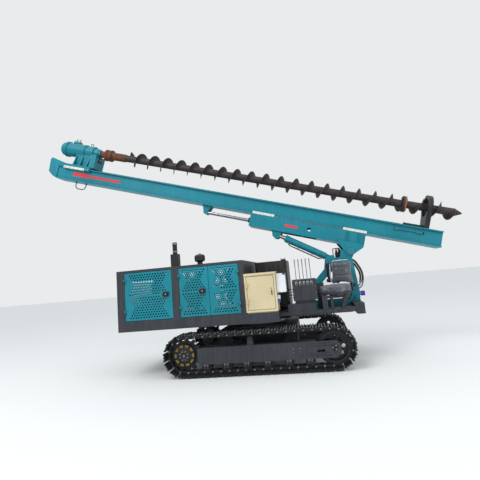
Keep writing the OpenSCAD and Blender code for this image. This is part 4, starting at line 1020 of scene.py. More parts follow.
    def build(self) -> None:
        """Makes the stem, its joints and the flights."""
        self.forging()
        self.tube()
        self.flanges()
        flights = Form()
        self.flight(flights, self.flight_top, self.coupling - self.coupling_half - 0.001)
        self.flight(flights, self.coupling + self.coupling_half + 0.001, self.tip - self.cone - 0.01)
        flights.piece("auger_flights", "auger", "flight_steel", [FLIGHT_PRIMER, RUSTY, FLIGHT_EDGE],
                      "auger_flight", smooth_degrees=35)


@dataclass
class RotaryHead:
    """What shows on the rotary drive: seam bolts, cap bolts, ports and hose fittings.

    Attributes:
        top: Place of the head's upper end along the mast.
        rings: Rings of bolts: distance from the top, facing, radius, count and size.
        swivel_n: Place of the swivel fitting across the mast.
        rows: Rows of bolts on the saddle's sides: first place, step, count, Y, N and size.
    """

    top: float = -5.985
    rings: tuple[tuple[float, ...], ...] = (
        (0.111, -1, 0.144, 16, 0.0085), (0.158, 1, 0.149, 16, 0.0065), (0.744, 1, 0.117, 12, 0.009),
        (0.702, -1, 0.1255, 12, 0.004), (0.0, -1, 0.052, 8, 0.009), (0.555, 1, 0.1305, 12, 0.0075))
    swivel_n: float = AUGER_N - 0.168
    rows: tuple[tuple[float, ...], ...] = ((-5.7, 0.095, 5, 0.194, 0.5915, 0.0075),
                                           (-5.25, 0.05, 2, 0.19, 0.592, 0.009))

    def bolts(self) -> None:
        """Makes the bolts of the seams and flanges."""
        bolts = Form()
        for offset, facing, radius, count, size in self.rings:
            bolts.bolt_ring(on_axis(self.top + offset, facing), radius, count, size)
        bolts.piece("rotary_head_bolts", "head_body", "teal_paint", [MAST_TEAL], bevel=0.0006)

    def ports(self) -> None:
        """Makes the port block on top of the motor, its capped fittings and the lifting eye."""
        ports, loop = Form(), Form()
        block = MAST @ moved(self.top + 0.3, 0, AUGER_N + 0.134)
        ports.box((-0.07, -0.045, 0), (0.07, 0.045, 0.044), block, 0, 0.004)
        for x in (-0.036, 0.036):
            ports.turned(mm(0, 40, 21, 40, 21, 52, 16, 54, 16, 72, 19, 73, 19, 90, 12, 96, 0, 96),
                         block @ moved(x, 0, 0), 6, 1)
        for x in (-0.06, 0, 0.06):
            for y in (-0.035, 0.035):
                ports.bolt(block @ moved(x, y, 0.044), 0.006, 1)
        eye = MAST @ moved(self.top + 0.63, 0, AUGER_N + 0.117)
        ring = [Vector((x, 0, 0.034 + z)) for x, z in circle(0.03, 18)]
        loop.tube(ring + ring[:1], 0.0075, 10)
        ports.stamp(loop, [eye])
        ports.turned(mm(0, 0, 22, 0, 22, 7, 12, 10, 0, 10), eye, 20)
        for k in range(3):
            ports.turned(mm(138.5, -7, 141.5, -4, 141.5, 4, 138.5, 7),
                         on_axis(self.top + 0.24 + 0.13 * k), 56)
        ports.piece("rotary_head_ports", "head_body", "teal_paint", [MAST_TEAL, ZINC], bevel=0.0012)

    def swivel(self) -> None:
        """Makes the dark swivel fitting that hangs under the output shaft, with its hose stubs."""
        swivel = Form()
        middle, lug = (MAST @ moved(self.top + offset, 0, self.swivel_n) for offset in (0.8, 0.745))
        swivel.box((-0.075, -0.075, -0.028), (0.085, 0.075, 0.03), middle, 0, 0.004)
        swivel.box((-0.1, -0.03, -0.055), (0.03, 0.03, -0.02), middle, 0, 0.003)
        for x in (-0.04, 0.045):
            swivel.turned(mm(0, -4, 21, -4, 21, 16, 15, 18, 15, 42, 19, 43, 19, 62, 12, 66, 0, 66),
                          middle @ moved(x, -0.075, 0) @ outward(Side.RIGHT), 6, 1)
        swivel.box((-0.02, -0.05, -0.02), (0.02, 0.05, 0.055), lug)
        swivel.piece("head_swivel_fitting", "head_body", "grey_paint", [CHASSIS_BLACK, ZINC], bevel=0.0015)

    def saddle(self) -> None:
        """Makes the bolts of the saddle's pads and top plate."""
        bolts = Form()
        for side in Side:
            for first, step, count, y, n, size in self.rows:
                for k in range(count):
                    bolts.bolt(MAST @ on_side(side, first + k * step, y, n), size)
            for k in range(6):
                bolts.bolt(MAST @ moved(-5.71 + k * 0.1, side * 0.168, 0.6625), 0.008)
        bolts.zinc("saddle_bolts", "head_body", bevel=0.0006)

    def build(self) -> None:
        """Makes the head's detail."""
        self.bolts()
        self.ports()
        self.swivel()
        self.saddle()


@dataclass
class FeedChain:
    """The roller chain that pulls the head along the mast.

    Attributes:
        centre_n: Distance of the chain's middle from the tilt pivot.
        ends: Places of the two sprockets along the mast.
        radius: Radius of the pin line round a sprocket.
        pitch: Wanted distance between the pins.
        plate: Radius of a link plate's ends.
    """

    centre_n: float = 0.524
    ends: tuple[float, float] = (-5.98, 1.09)
    radius: float = 0.106
    pitch: float = 0.0508
    plate: float = 0.011

    def place(self, travel: float) -> Matrix:
        """Returns the place of a link at a distance along the chain, X along it and Z outwards."""
        first, last = self.ends
        t, n, angle = on_loop(travel, last - first, self.radius)
        return MAST @ moved(first + t, 0, self.centre_n + n) @ Matrix.Rotation(angle, 4, "Y")

    def build(self) -> None:
        """Makes the chain from inner and outer links in turn."""
        first, last = self.ends
        length = 2 * (last - first) + 2 * math.pi * self.radius
        count = 2 * round(length / self.pitch / 2)
        step = length / count
        rounding = [polar(self.plate, math.radians(-90 + 45 * k)) for k in range(5)]
        half = [(step / 2 + x, z) for x, z in rounding]
        outline = half + [(-x, -z) for x, z in half]
        chain = Form()
        for outer in (False, True):
            link = Form()
            near, far = (0.0135, 0.0172) if outer else (0.0092, 0.0128)
            for high in (-near, far):
                link.prism(outline, far - near, moved(0, high, 0) @ outward(Side.RIGHT))
            radius, reach = (0.0045, 0.0179) if outer else (0.0098, 0.0088)
            for sign in (-1, 1):
                link.turned(disc(radius, -reach, reach), moved(sign * step / 2, 0, 0) @ Axis.Y.value, 8,
                            int(outer))
            chain.stamp(link, (self.place(k * step) for k in range(int(not outer), count, 2)))
        chain.piece("feed_roller_chain", "mast_body", "track_steel", [TRACK_BLACK, ZINC], "feed_chain",
                    smooth_degrees=30)


class Course:
    """Lays out the middle line of a hose or pipe in one plane, from straights and arcs.

    The plane is given by a matrix: the course runs in its X and Y and turns about its Z.
    """

    def __init__(self, plane: Matrix, start: tuple[float, float], heading: float) -> None:
        """Starts the course.

        Args:
            plane: From the plane's X and Y to the frame.
            start: First point, in metres in the plane.
            heading: Direction at the start, in degrees anticlockwise from the plane's X.
        """
        self.plane = plane
        self.at = Vector(start)
        self.heading = math.radians(heading)
        self.flat = [self.at.copy()]

    def line(self, length: float) -> "Course":
        """Goes straight on."""
        ahead = Vector(polar(1, self.heading))
        steps = max(1, round(length / 0.006))
        self.flat += [self.at + ahead * length * (i + 1) / steps for i in range(steps)]
        self.at = self.flat[-1].copy()
        return self

    def arc(self, radius: float, degrees: float) -> "Course":
        """Turns left by an angle, or right where it is negative."""
        sign = math.copysign(1.0, degrees)
        centre = self.at + sign * radius * Vector((-math.sin(self.heading), math.cos(self.heading)))
        steps = max(4, round(abs(degrees) / 4))
        for i in range(steps):
            turned = self.heading + math.radians(degrees) * (i + 1) / steps
            self.flat.append(centre + sign * radius * Vector((math.sin(turned), -math.cos(turned))))
        self.heading += math.radians(degrees)
        self.at = self.flat[-1].copy()
        return self

    def points(self) -> list[Vector]:
        """Returns the points in the frame."""
        return [self.plane @ p.to_3d() for p in self.flat]


def ferrule(form: Form, place: Matrix, hose: float, length: float, swell: float = 0.0025) -> None:
    """Adds a crimped hose ferrule that starts at a place and runs along its Z.

    Args:
        form: The form that gets it.
        place: Where its nut end stands.
        hose: Radius of the hose.
        length: Length of the ferrule.
        swell: How far it stands out from the hose.
    """
    outer, groove, grooves = hose + swell, hose + swell * 0.45, 4
    profile = [(hose * 0.6, 0.0), (outer, 0.0)]
    for k in range(grooves):
        z = length * (0.3 + 0.6 * k / grooves)
        profile += [(outer, z), (groove, z + length * 0.03), (groove, z + length * 0.09),
                    (outer, z + length * 0.12)]
    profile += [(outer, length * 0.97), (hose * 0.99, length), (hose * 0.6, length)]
    form.turned(profile, place, 24)
    form.prism(circle(outer, 6), length * 0.26, place, 0, outer * 0.05)


@dataclass
class Hose:
    """One hydraulic hose: a rubber tube of real length along its course.

    Attributes:
        name: Name of the piece.
        body: The CAD body that it rides on.
        course: Its middle line.
        radius: Radius of the outer rubber.
        replaced: The CAD node that it stands for.
    """

    name: str
    body: str
    course: Course
    radius: float
    replaced: str

    def build(self) -> None:
        """Makes the hose."""
        path = self.course.points()
        form = Form()
        form.tube(path, self.radius, 20)
        hose = form.piece(self.name, self.body, "hose_rubber", [HOSE_RUBBER], self.replaced)


@dataclass
class TowerHoses:
    """The two pressure hoses that leave the bulkhead and bend down the mast foot's front.

    They end in steel elbows, which turn into the lower glands.

    Attributes:
        y: Their plane.
        glands: Heights of each hose's upper and lower gland, then its straight lead, first bend's
            radius, straight, and second bend's radius.
        radius: Radius of the hose.
        start_x: X of the upper glands' faces.
        end_x: X of the lower glands' faces.
        steel: Radius of the elbows.
    """

    y: float = -0.06
    glands: dict[str, tuple[float, ...]] = field(default_factory=lambda: {
        "tower_hose_inner": (1.568, 1.14, 0.02, 0.126, 0.0689, 0.291),
        "tower_hose_outer": (1.608, 1.1, 0.028, 0.15, 0.08, 0.33)})
    radius: float = 0.017
    start_x: float = 1.562
    end_x: float = 1.702
    steel: float = 0.0125

    def build(self) -> None:
        """Makes both hoses, their ferrules and elbows."""
        plane = upright(self.y)
        fittings = Form()
        for node, (high, low, lead, first, middle, second) in self.glands.items():
            course = Course(plane, (self.start_x, high), 0.0)
            course.line(lead).arc(first, -62.0).line(middle).arc(second, -38.0).line(0.045)
            path = course.points()
            Hose(node + "_rubber", "platform", course, self.radius, node).build()
            ferrule(fittings, facing(path[0], path[1] - path[0]), self.radius, lead + 0.008)
            ahead = (path[-1] - path[-2]).normalized()
            ferrule(fittings, facing(path[-1] + ahead * 0.012, -ahead), self.radius, 0.04)
            elbow = Course(plane, tuple(course.at), math.degrees(course.heading)).line(0.025)
            elbow.arc((elbow.at.y - low) / (1 + math.cos(math.radians(100))), -80.0)
            elbow.line(elbow.at.x - self.end_x)
            bend = elbow.points()
            fittings.tube(bend, self.steel, 16)
            fittings.prism(circle(0.0195, 6), 0.014, facing(bend[-1], bend[-2] - bend[-1]), 0, 0.0015)
        fittings.zinc("tower_hose_elbows")


@dataclass
class MastHose:
    """The thin grease hose that loops under the mast between its two bosses.

    Attributes:
        t: Places of the bosses along the mast.
        n: Height of the bosses' faces.
        radius: Radius of the hose.
        bend: Radius of its bends.
        lead: Length of its straight ends.
    """

    t: tuple[float, float] = (-5.5, -5.278)
    n: float = 0.321
    radius: float = 0.009
    bend: float = 0.072
    lead: float = 0.036

    def build(self) -> None:
        """Makes the hose and its ferrules."""
        course = Course(MAST @ upright(0), (self.t[0], self.n), -90.0).line(self.lead).arc(self.bend, 90.0)
        course.line(self.t[1] - self.t[0] - 2 * self.bend).arc(self.bend, 90.0).line(self.lead)
        Hose("mast_hose_rubber", "mast_body", course, self.radius, "mast_hose").build()
        path = course.points()
        ends = Form()
        for tip, inner in ((path[0], path[1]), (path[-1], path[-2])):
            ferrule(ends, facing(tip, inner - tip), self.radius, 0.026, 0.002)
        ends.zinc("mast_hose_ferrules", "mast_body")


@dataclass
class ManifoldPipes:
    """The four steel pipes that turn from the manifold's studs down to the tower's top plate.

    They stay below the carriage's path and between the tilt cylinders.

    Attributes:
        rear: X of the rear studs.
        front: X of the front studs.
        y: Distance of the studs from the middle.
        top: Height of the studs.
        radius: Radius of the pipes.
        bend: Radius of their bends.
        plate_z: Top of the tower's plate.
        bracket: Thickness of the brackets on it.
    """

    rear: float = 1.415
    front: float = 1.475
    y: float = 0.02
    top: float = 1.78
    radius: float = 0.0065
    bend: float = 0.02
    plate_z: float = 1.64
    bracket: float = 0.008

    def build(self) -> None:
        """Makes the pipes, their nuts and the brackets at their feet."""
        pipes, nuts = Form(), Form()
        foot = self.plate_z + self.bracket
        for side in Side:
            for stud, (x, y), reach in ((self.front, (-1.0, 0.0), 0.117), (self.rear, polar(1, 1.05), 0.084)):
                y *= side
                plane = Matrix(((x, 0, y, stud), (y, 0, -x, side * self.y), (0, 1, 0, 0), (0, 0, 0, 1)))
                run = Course(plane, (0, self.top - 0.002), 90.0).line(0.012).arc(self.bend, -90.0)
                run.line(reach - 2 * self.bend).arc(self.bend, -90.0)
                run.line(run.at.y - foot)
                path = run.points()
                end = path[-1]
                pipes.tube(path, self.radius, 14)
                nuts.bolt(facing(path[0], Vector((0, 0, 1))), 0.0135)
                nuts.bolt(facing(end, Vector((0, 0, 1))), 0.0125)
                if stud == self.rear:
                    nuts.box((end.x - 0.02, end.y - 0.02, self.plate_z),
                             (end.x + 0.02, end.y + 0.02, foot), chamfer=0.001)
        nuts.box((self.front - 0.132, -0.045, self.plate_z), (self.rear - 0.026, 0.045, foot), chamfer=0.001)
        pipes.piece("manifold_pipes", "platform", "bare_steel", [BLACK_PLASTIC])
        nuts.zinc("manifold_pipe_nuts")


CHAIR = moved(1.29, -0.57, 0) @ Matrix.Rotation(math.radians(236), 4, "Z")
# From a cushion's own axes to the chair's: X and Y across the pad, Z out of the face it rests on
SITTING = moved(0, 0, 1.09)
LEANING = Matrix(((0, 0, 1, -0.3047), (1, 0, 0, 0), (0, 1, 0, 1.4), (0, 0, 0, 1)))


@dataclass
class Cushion:
    """A foam cushion under a woven cover, still in its wrapping film.

    The blank swells in a cloth simulation, then gets its sewn channels, the folds of the film and a
    welt round its edge.

    Attributes:
        node: The CAD node that it stands for.
        place: From the cushion's axes to the frame.
        half: Half its size across and along.
        thick: Its thickness.
        corners: Radii of the two corners at low Y, then of the two at high Y.
        channels: Sewn lines: 0 or 1 for the axis that they cross, and where.
        swell: Most that a point may move in the simulation.
        pressure: Air pressure that fills the cover.
        frames: Length of the simulation.
        fold: Height of the film's folds.
        shrink: How much smaller the blank is.
        waist: How far the long sides pull in.
        voxel: Size of the blank's faces.
        channel: Depth and half width of a sewn channel.
    """

    node: str
    place: Matrix
    half: tuple[float, float]
    thick: float
    corners: tuple[float, float]
    channels: tuple[tuple[int, float], ...]
    swell: float = 0.022
    pressure: float = 4.0
    frames: int = 20
    fold: float = 0.0035
    shrink: float = 0.01
    waist: float = 0.007
    voxel: float = 0.006
    channel: tuple[float, float] = (0.01, 0.009)

    def outline(self, inset: float) -> Outline:
        """Returns the rounded outline, whose sides pull in between the corners.

        Args:
            inset: How far it lies inside the full size.
        """
        a, b = self.half[0] - inset, self.half[1] - inset
        low, high = self.corners
        points: Outline = []
        for cx, cy, radius, start in ((a - high, b - high, high, 0), (-a + high, b - high, high, 90),
                                      (-a + low, -b + low, low, 180), (a - low, -b + low, low, 270)):
            for k in range(7):
                x, y = polar(radius, math.radians(start + 15 * k))
                points.append((cx + x, cy + y))
        full: Outline = []
        for p, q in zip(points, points[1:] + points[:1]):
            gap = math.dist(p, q)
            steps = max(1, round(gap / 0.02))
            for k in range(steps):
                share = k / steps
                sag = self.waist * math.sin(math.pi * share) ** 2 if gap > 0.1 else 0.0
                x, y = p[0] + (q[0] - p[0]) * share, p[1] + (q[1] - p[1]) * share
                across = abs(q[0] - p[0]) < abs(q[1] - p[1])
                full.append((x - math.copysign(sag, x), y) if across else (x, y - math.copysign(sag, y)))
        return full

    def blank(self) -> bpy.types.Object:
        """Makes the smaller blank that will swell, with even faces."""
        form = Form()
        form.prism(self.outline(self.shrink), self.thick - self.shrink, moved(0, 0, 0.002), chamfer=0.016)
        mesh = bpy.data.meshes.new(self.node + "_blank")
        mesh.from_pydata(form.points, [], form.faces)
        blank = show(self.node + "_blank", mesh)
        remesh = blank.modifiers.new("even", "REMESH")
        remesh.mode = "VOXEL"
        remesh.voxel_size = self.voxel
        return self.baked(blank)

    @staticmethod
    def baked(thing: bpy.types.Object) -> bpy.types.Object:
        """Replaces an object's mesh by what its modifiers make of it."""
        seen = thing.evaluated_get(bpy.context.evaluated_depsgraph_get())
        mesh = bpy.data.meshes.new_from_object(seen)
        thing.modifiers.clear()
        thing.data = mesh
        return thing

    def swollen(self, blank: bpy.types.Object) -> None:
        """Fills the cover by a short cloth simulation and keeps its result."""
        start = [v.co.copy() for v in blank.data.vertices]
        scene = bpy.context.scene
        settings = blank.modifiers.new("cover", "CLOTH").settings
        settings.quality = 4
        settings.use_pressure = True
        settings.uniform_pressure_force = self.pressure
        settings.effector_weights.gravity = 0.0
        for number in range(1, self.frames + 1):
            scene.frame_set(number)
        self.baked(blank)
        scene.frame_set(1)
        for vertex, first in zip(blank.data.vertices, start):
            step = vertex.co - first
            if step.length > self.swell:
                vertex.co = first + step * (self.swell / step.length)

    def folded(self, cushion: bpy.types.Object) -> None:
        """Draws in the sewn channels and raises the folds of the film."""
        vertices = cushion.data.vertices
        depth, width = self.channel
        normals = [v.normal.copy() for v in vertices]
        for vertex, normal in zip(vertices, normals):
            spot = vertex.co.copy()
            face = max(0.0, normal.z)
            for axis, value in self.channels:
                drawn = depth * math.exp(-((spot[axis] - value) / width) ** 2)
                vertex.co -= normal * drawn * face
            seed = Vector((spot.x / 0.045, spot.y / 0.16, spot.z / 0.09))
            ridge = noise.ridged_multi_fractal(seed, 1.0, 2.1, 3, 1.0, 2.0)
            vertex.co += normal * self.fold * (ridge - 0.8)
            vertex.co.z = max(vertex.co.z, 0.0)

    def welt(self, cushion: bpy.types.Object) -> None:
        """Lays a sewn welt round the edge of the top face."""
        tree = BVHTree.FromObject(cushion, bpy.context.evaluated_depsgraph_get())
        path = [self.place @ tree.find_nearest(Vector((x, y, self.thick - 0.016)))[0]
                for x, y in self.outline(0.006)]
        form = Form()
        form.tube(path + path[:2], 0.0038, 8)
        form.piece(self.node + "_welt", "platform", "film_covered_fabric", [UPHOLSTERY])

    def build(self) -> None:
        """Makes the cushion and its welt."""
        cushion = self.blank()
        self.swollen(cushion)
        fine = cushion.modifiers.new("fine", "SUBSURF")
        fine.levels = fine.render_levels = 1
        self.baked(cushion)
        self.folded(cushion)
        mesh = cushion.data
        mesh.update()
        self.welt(cushion)
        cushion.name = mesh.name = self.node + "_cover"
        mesh.transform(self.place)
        mesh.materials.clear()
        mesh.materials.append(UPHOLSTERY.material())
        mesh.shade_smooth()
        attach(cushion, "platform")
        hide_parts(self.node)
        LOG.info("%s: %d faces after its simulation", cushion.name, len(mesh.polygons))


@dataclass
class OperatorChair:
    """The operator's chair: two film-wrapped cushions, the gathered film and the frame's fittings.

    Attributes:
        rolls: Rolls of gathered film: mean radius, then the middle line's points in the chair's axes.
        roll_sides: Sides of a roll's skin.
    """

    rolls: dict[str, tuple] = field(default_factory=lambda: {
        "back": (0.011, (-0.196, -0.17, 1.212), (-0.19, -0.06, 1.208), (-0.193, 0.07, 1.21),
                 (-0.198, 0.168, 1.214)),
        "side": (0.01, (-0.12, -0.214, 1.178), (0.01, -0.219, 1.172), (0.12, -0.212, 1.176)),
        "edge": (0.0095, (-0.222, -0.186, 1.235), (-0.217, -0.191, 1.33), (-0.219, -0.189, 1.44),
                 (-0.226, -0.186, 1.545)),
        "top": (0.0085, (-0.243, -0.15, 1.587), (-0.238, -0.02, 1.591), (-0.243, 0.148, 1.588))})
    roll_sides: int = 40

    def gathered(self, name: str, radius: float, *spots: Point) -> None:
        """Makes a crumpled roll of wrapping film through some spots in the chair's axes."""
        path = [Vector(spot) for spot in spots]
        form = Form()
        fine = [a.lerp(b, k / 12) for a, b in zip(path, path[1:]) for k in range(12)] + [path[-1]]
        form.tube(fine, radius, self.roll_sides)
        for i, point in enumerate(form.points):
            ring = i // self.roll_sides
            centre, spot = fine[ring], Vector(point)
            crumple = noise.ridged_multi_fractal(spot / 0.028, 0.9, 2.2, 3, 1.0, 2.0) - 0.9
            ends = math.sin(math.pi * min(1.0, (ring + 0.6) / len(fine))) ** 0.25
            form.points[i] = tuple(CHAIR @ (centre + (spot - centre) * (1 + 0.42 * crumple) * ends))
        form.piece(name, "platform", "film_covered_fabric", [GATHERED_FILM], smooth_degrees=60)

    @staticmethod
    def fittings() -> None:
        """Adds the bolts of the back bars and rails, the armrest's cap and the tilt knob."""
        form = Form()
        for y in (-0.12, 0.12):
            for z in (1.12, 1.2, 1.33, 1.41):
                form.bolt(CHAIR @ moved(-0.317, y, z) @ Matrix.Rotation(-math.pi / 2, 4, "Y"), 0.008)
        for y in (-0.168, 0.168):
            for x in (-0.23, 0.12):
                form.bolt(CHAIR @ moved(x, y, 1.072) @ Axis.DOWN.value, 0.008)
        form.zinc("operator_frame_bolts")
        knobs = Form()
        knobs.turned(mm(0, 0, 26, 0, 29, 4, 29, 12, 22, 17, 0, 19),
                     CHAIR @ moved(-0.232, -0.2573, 1.275) @ outward(Side.RIGHT), 28)
        knobs.turned(mm(0, -4, 10, -4, 10, 0, 27, 0, 30, 6, 27, 24, 0, 26),
                     CHAIR @ moved(-0.262, 0.196, 1.18) @ outward(Side.LEFT), 10)
        knobs.piece("operator_armrest_cap", "platform", "black_paint", [BLACK_PLASTIC])

    def build(self) -> None:
        """Makes the whole chair."""
        Cushion("operator_cushion", CHAIR @ SITTING, (0.205, 0.212), 0.11, (0.05, 0.05),
                ((1, -0.145), (1, 0.145), (0, 0.06))).build()
        Cushion("operator_backrest", CHAIR @ LEANING, (0.195, 0.195), 0.095, (0.02, 0.05),
                ((0, -0.128), (0, 0.128), (1, 0.075), (1, -0.055))).build()
        for word, roll in self.rolls.items():
            self.gathered("film_roll_" + word, *roll)
        self.fittings()


@dataclass
class DoorFittings:
    """Locks on the housing's doors and the caps of their hinge pins.

    Attributes:
        locks: Last letter of the locked doors' body names, with the X of the lock.
        hinges: X of the hinge axes.
        lock_z: Height of the locks.
        hinge_z: Heights of the hinges.
        hinge_half: Half the length of a hinge.
        hinge_y: Distance of the hinge axes from the middle.
        plates: Corners of a lock's back plate and body: X and Z from the lock, Y from the middle.
    """

    locks: dict[str, float] = field(default_factory=lambda: {"r": -1.404, "m": -0.792})
    hinges: tuple[float, ...] = (-2.114, -1.175, -0.193)
    lock_z: float = 1.2955
    hinge_z: tuple[float, float] = (1.046, 1.545)
    hinge_half: float = 0.0348
    hinge_y: float = 0.964
    plates: tuple[tuple[Point, Point], ...] = (((-0.0548, 0.961, -0.0398), (0.0548, 0.9634, 0.0398)),
                                               ((-0.037, 0.963, -0.021), (0.031, 0.9753, 0.023)))

    def lock(self, side: Side, door: str, x: float) -> None:
        """Makes one lock with its screws."""
        lock = Form()
        for low, high in self.plates:
            lock.box((x + low[0], side * low[1], self.lock_z + low[2]),
                     (x + high[0], side * high[1], self.lock_z + high[2]), mark=1)
        face, plate = (on_side(side, x, y, self.lock_z) for y in (0.975, 0.9632))
        lock.turned(mm(0, 0, 13.5, 0, 13.5, 3, 11, 5.5, 6.5, 5.5, 5.5, 4, 0, 4), face, 28)
        for dx, dz in corners(0.046, 0.031):
            lock.turned(mm(0, 0, 4.8, 0, 4.2, 1.8, 0, 2.6), plate @ moved(dx, dz, 0), 14)
        word = side.name[0].lower() + door
        lock.piece(f"door_lock_{word}", f"door_{word}", "bare_steel", [ZINC, BLACK_PLASTIC])

    def build(self) -> None:
        """Makes the locks of both sides and the hinge caps."""
        caps = Form()
        for side in Side:
            for door, x in self.locks.items():
                self.lock(side, door, x)
            for x in self.hinges:
                for z in self.hinge_z:
                    for turn, sign in ((Axis.Z, 1), (Axis.DOWN, -1)):
                        end = moved(x, side * self.hinge_y, z + sign * self.hinge_half)
                        caps.turned(mm(0, 0, 9.5, 0, 9.5, 2, 6, 4.5, 0, 5), end @ turn.value, 18)
        caps.zinc("door_hinge_caps")


@dataclass
class Console:
    """What the valve console shows: rubber boots and grips on its levers, screws, connectors.

    Attributes:
        levers: X of the five levers.
        lever_y: Y of the levers.
        panel: Low and high X, then low and high Z of the front panel.
        slot_z: Height of the lever slots' middle.
        slot_frame: Bars of a slot's frame: middle from the slot's, width and height.
        plugs: Heights of the white plugs at the rear end.
    """

    levers: tuple[float, ...] = tuple(0.69 + 0.059 * i for i in range(5))
    lever_y: float = -0.6
    panel: tuple[float, float, float, float] = (0.62, 1.0, 1.01, 1.345)
    slot_z: float = 1.278
    slot_frame: tuple[tuple[float, ...], ...] = ((-0.0145, 0, 0.003, 0.064), (0.0145, 0, 0.003, 0.064),
                                                 (0, -0.0305, 0.032, 0.003), (0, 0.0305, 0.032, 0.003))
    plugs: tuple[float, ...] = (1.06, 1.105, 1.15, 1.192)

    def on_levers(self) -> None:
        """Makes the bellows boots round the feet of the levers and their grips."""
        boots, grips = Form(), Form()
        profile = mm(0, 0, 27, 0, 27, 5)
        for k in range(4):
            outer = 24.5 - 3.2 * k
            profile += mm(outer, 7 + 10 * k, outer - 1.5, 10.5 + 10 * k, outer - 6.5, 13.5 + 10 * k)
        profile += mm(8.5, 50, 8.5, 58, 0, 58)
        grip = mm(0, 0, 8.5, 0, 9.8, 4, 8.6, 12, 9.2, 60, 10.3, 100, 9.8, 114, 6, 120, 0, 121.5)
        for x in self.levers:
            boots.turned(profile, moved(x, self.lever_y, 1.2245), 26)
            grips.turned(grip, moved(x, self.lever_y, 1.547), 20)
        boots.piece("lever_boots", "platform", "hose_rubber", [HOSE_RUBBER])
        grips.piece("lever_grips", "platform", "bare_steel", [GRIP_GREY])

    def screws(self) -> None:
        """Makes the button head screws along the panel's edges and the frames of the lever slots."""
        form = Form()
        low_x, high_x, low_z, high_z = self.panel
        spots = [(low_x + 0.016 + (high_x - low_x - 0.032) * k / 6, high_z - 0.014) for k in range(7)]
        spots += [(x, low_z + 0.02 + 0.095 * k) for x in (low_x + 0.016, high_x - 0.016) for k in range(3)]
        for x, z in spots:
            form.turned(mm(0, 0, 5.6, 0, 5, 1.8, 3, 3, 0, 3.4),
                        on_side(Side.RIGHT, x, 0.7068, z), 14)
        for x in self.levers:
            for dx, dz, wide, high in self.slot_frame:
                form.box((x + dx - wide / 2, -0.7085, self.slot_z + dz - high / 2),
                         (x + dx + wide / 2, -0.7065, self.slot_z + dz + high / 2))
        form.zinc("console_screws")

    def connectors(self) -> None:
        """Makes the white plugs and their black tails at the console's rear end."""
        plugs, tails = Form(), Form()
        for k, z in enumerate(self.plugs):
            y = -0.66 + 0.035 * (k % 2)
            plugs.box((0.594, y - 0.013, z - 0.01), (0.6405, y + 0.013, z + 0.01), chamfer=0.002)
            plugs.box((0.602, y - 0.016, z - 0.0035), (0.61, y + 0.016, z + 0.0125), chamfer=0.001)
            drop = Course(upright(y), (0.594, z), 180.0).line(0.016).arc(0.042, 90.0)
            drop.line(drop.at.y - 0.852)
            tails.tube(drop.points(), 0.0075, 12)
        plugs.piece("console_plugs", "platform", "white_paint", [WHITE_PLASTIC], bevel=0.0006)
        tails.piece("console_conduits", "platform", "hose_rubber", [HOSE_RUBBER])

    def build(self) -> None:
        """Makes all of them."""
        self.on_levers()
        self.screws()
        self.connectors()


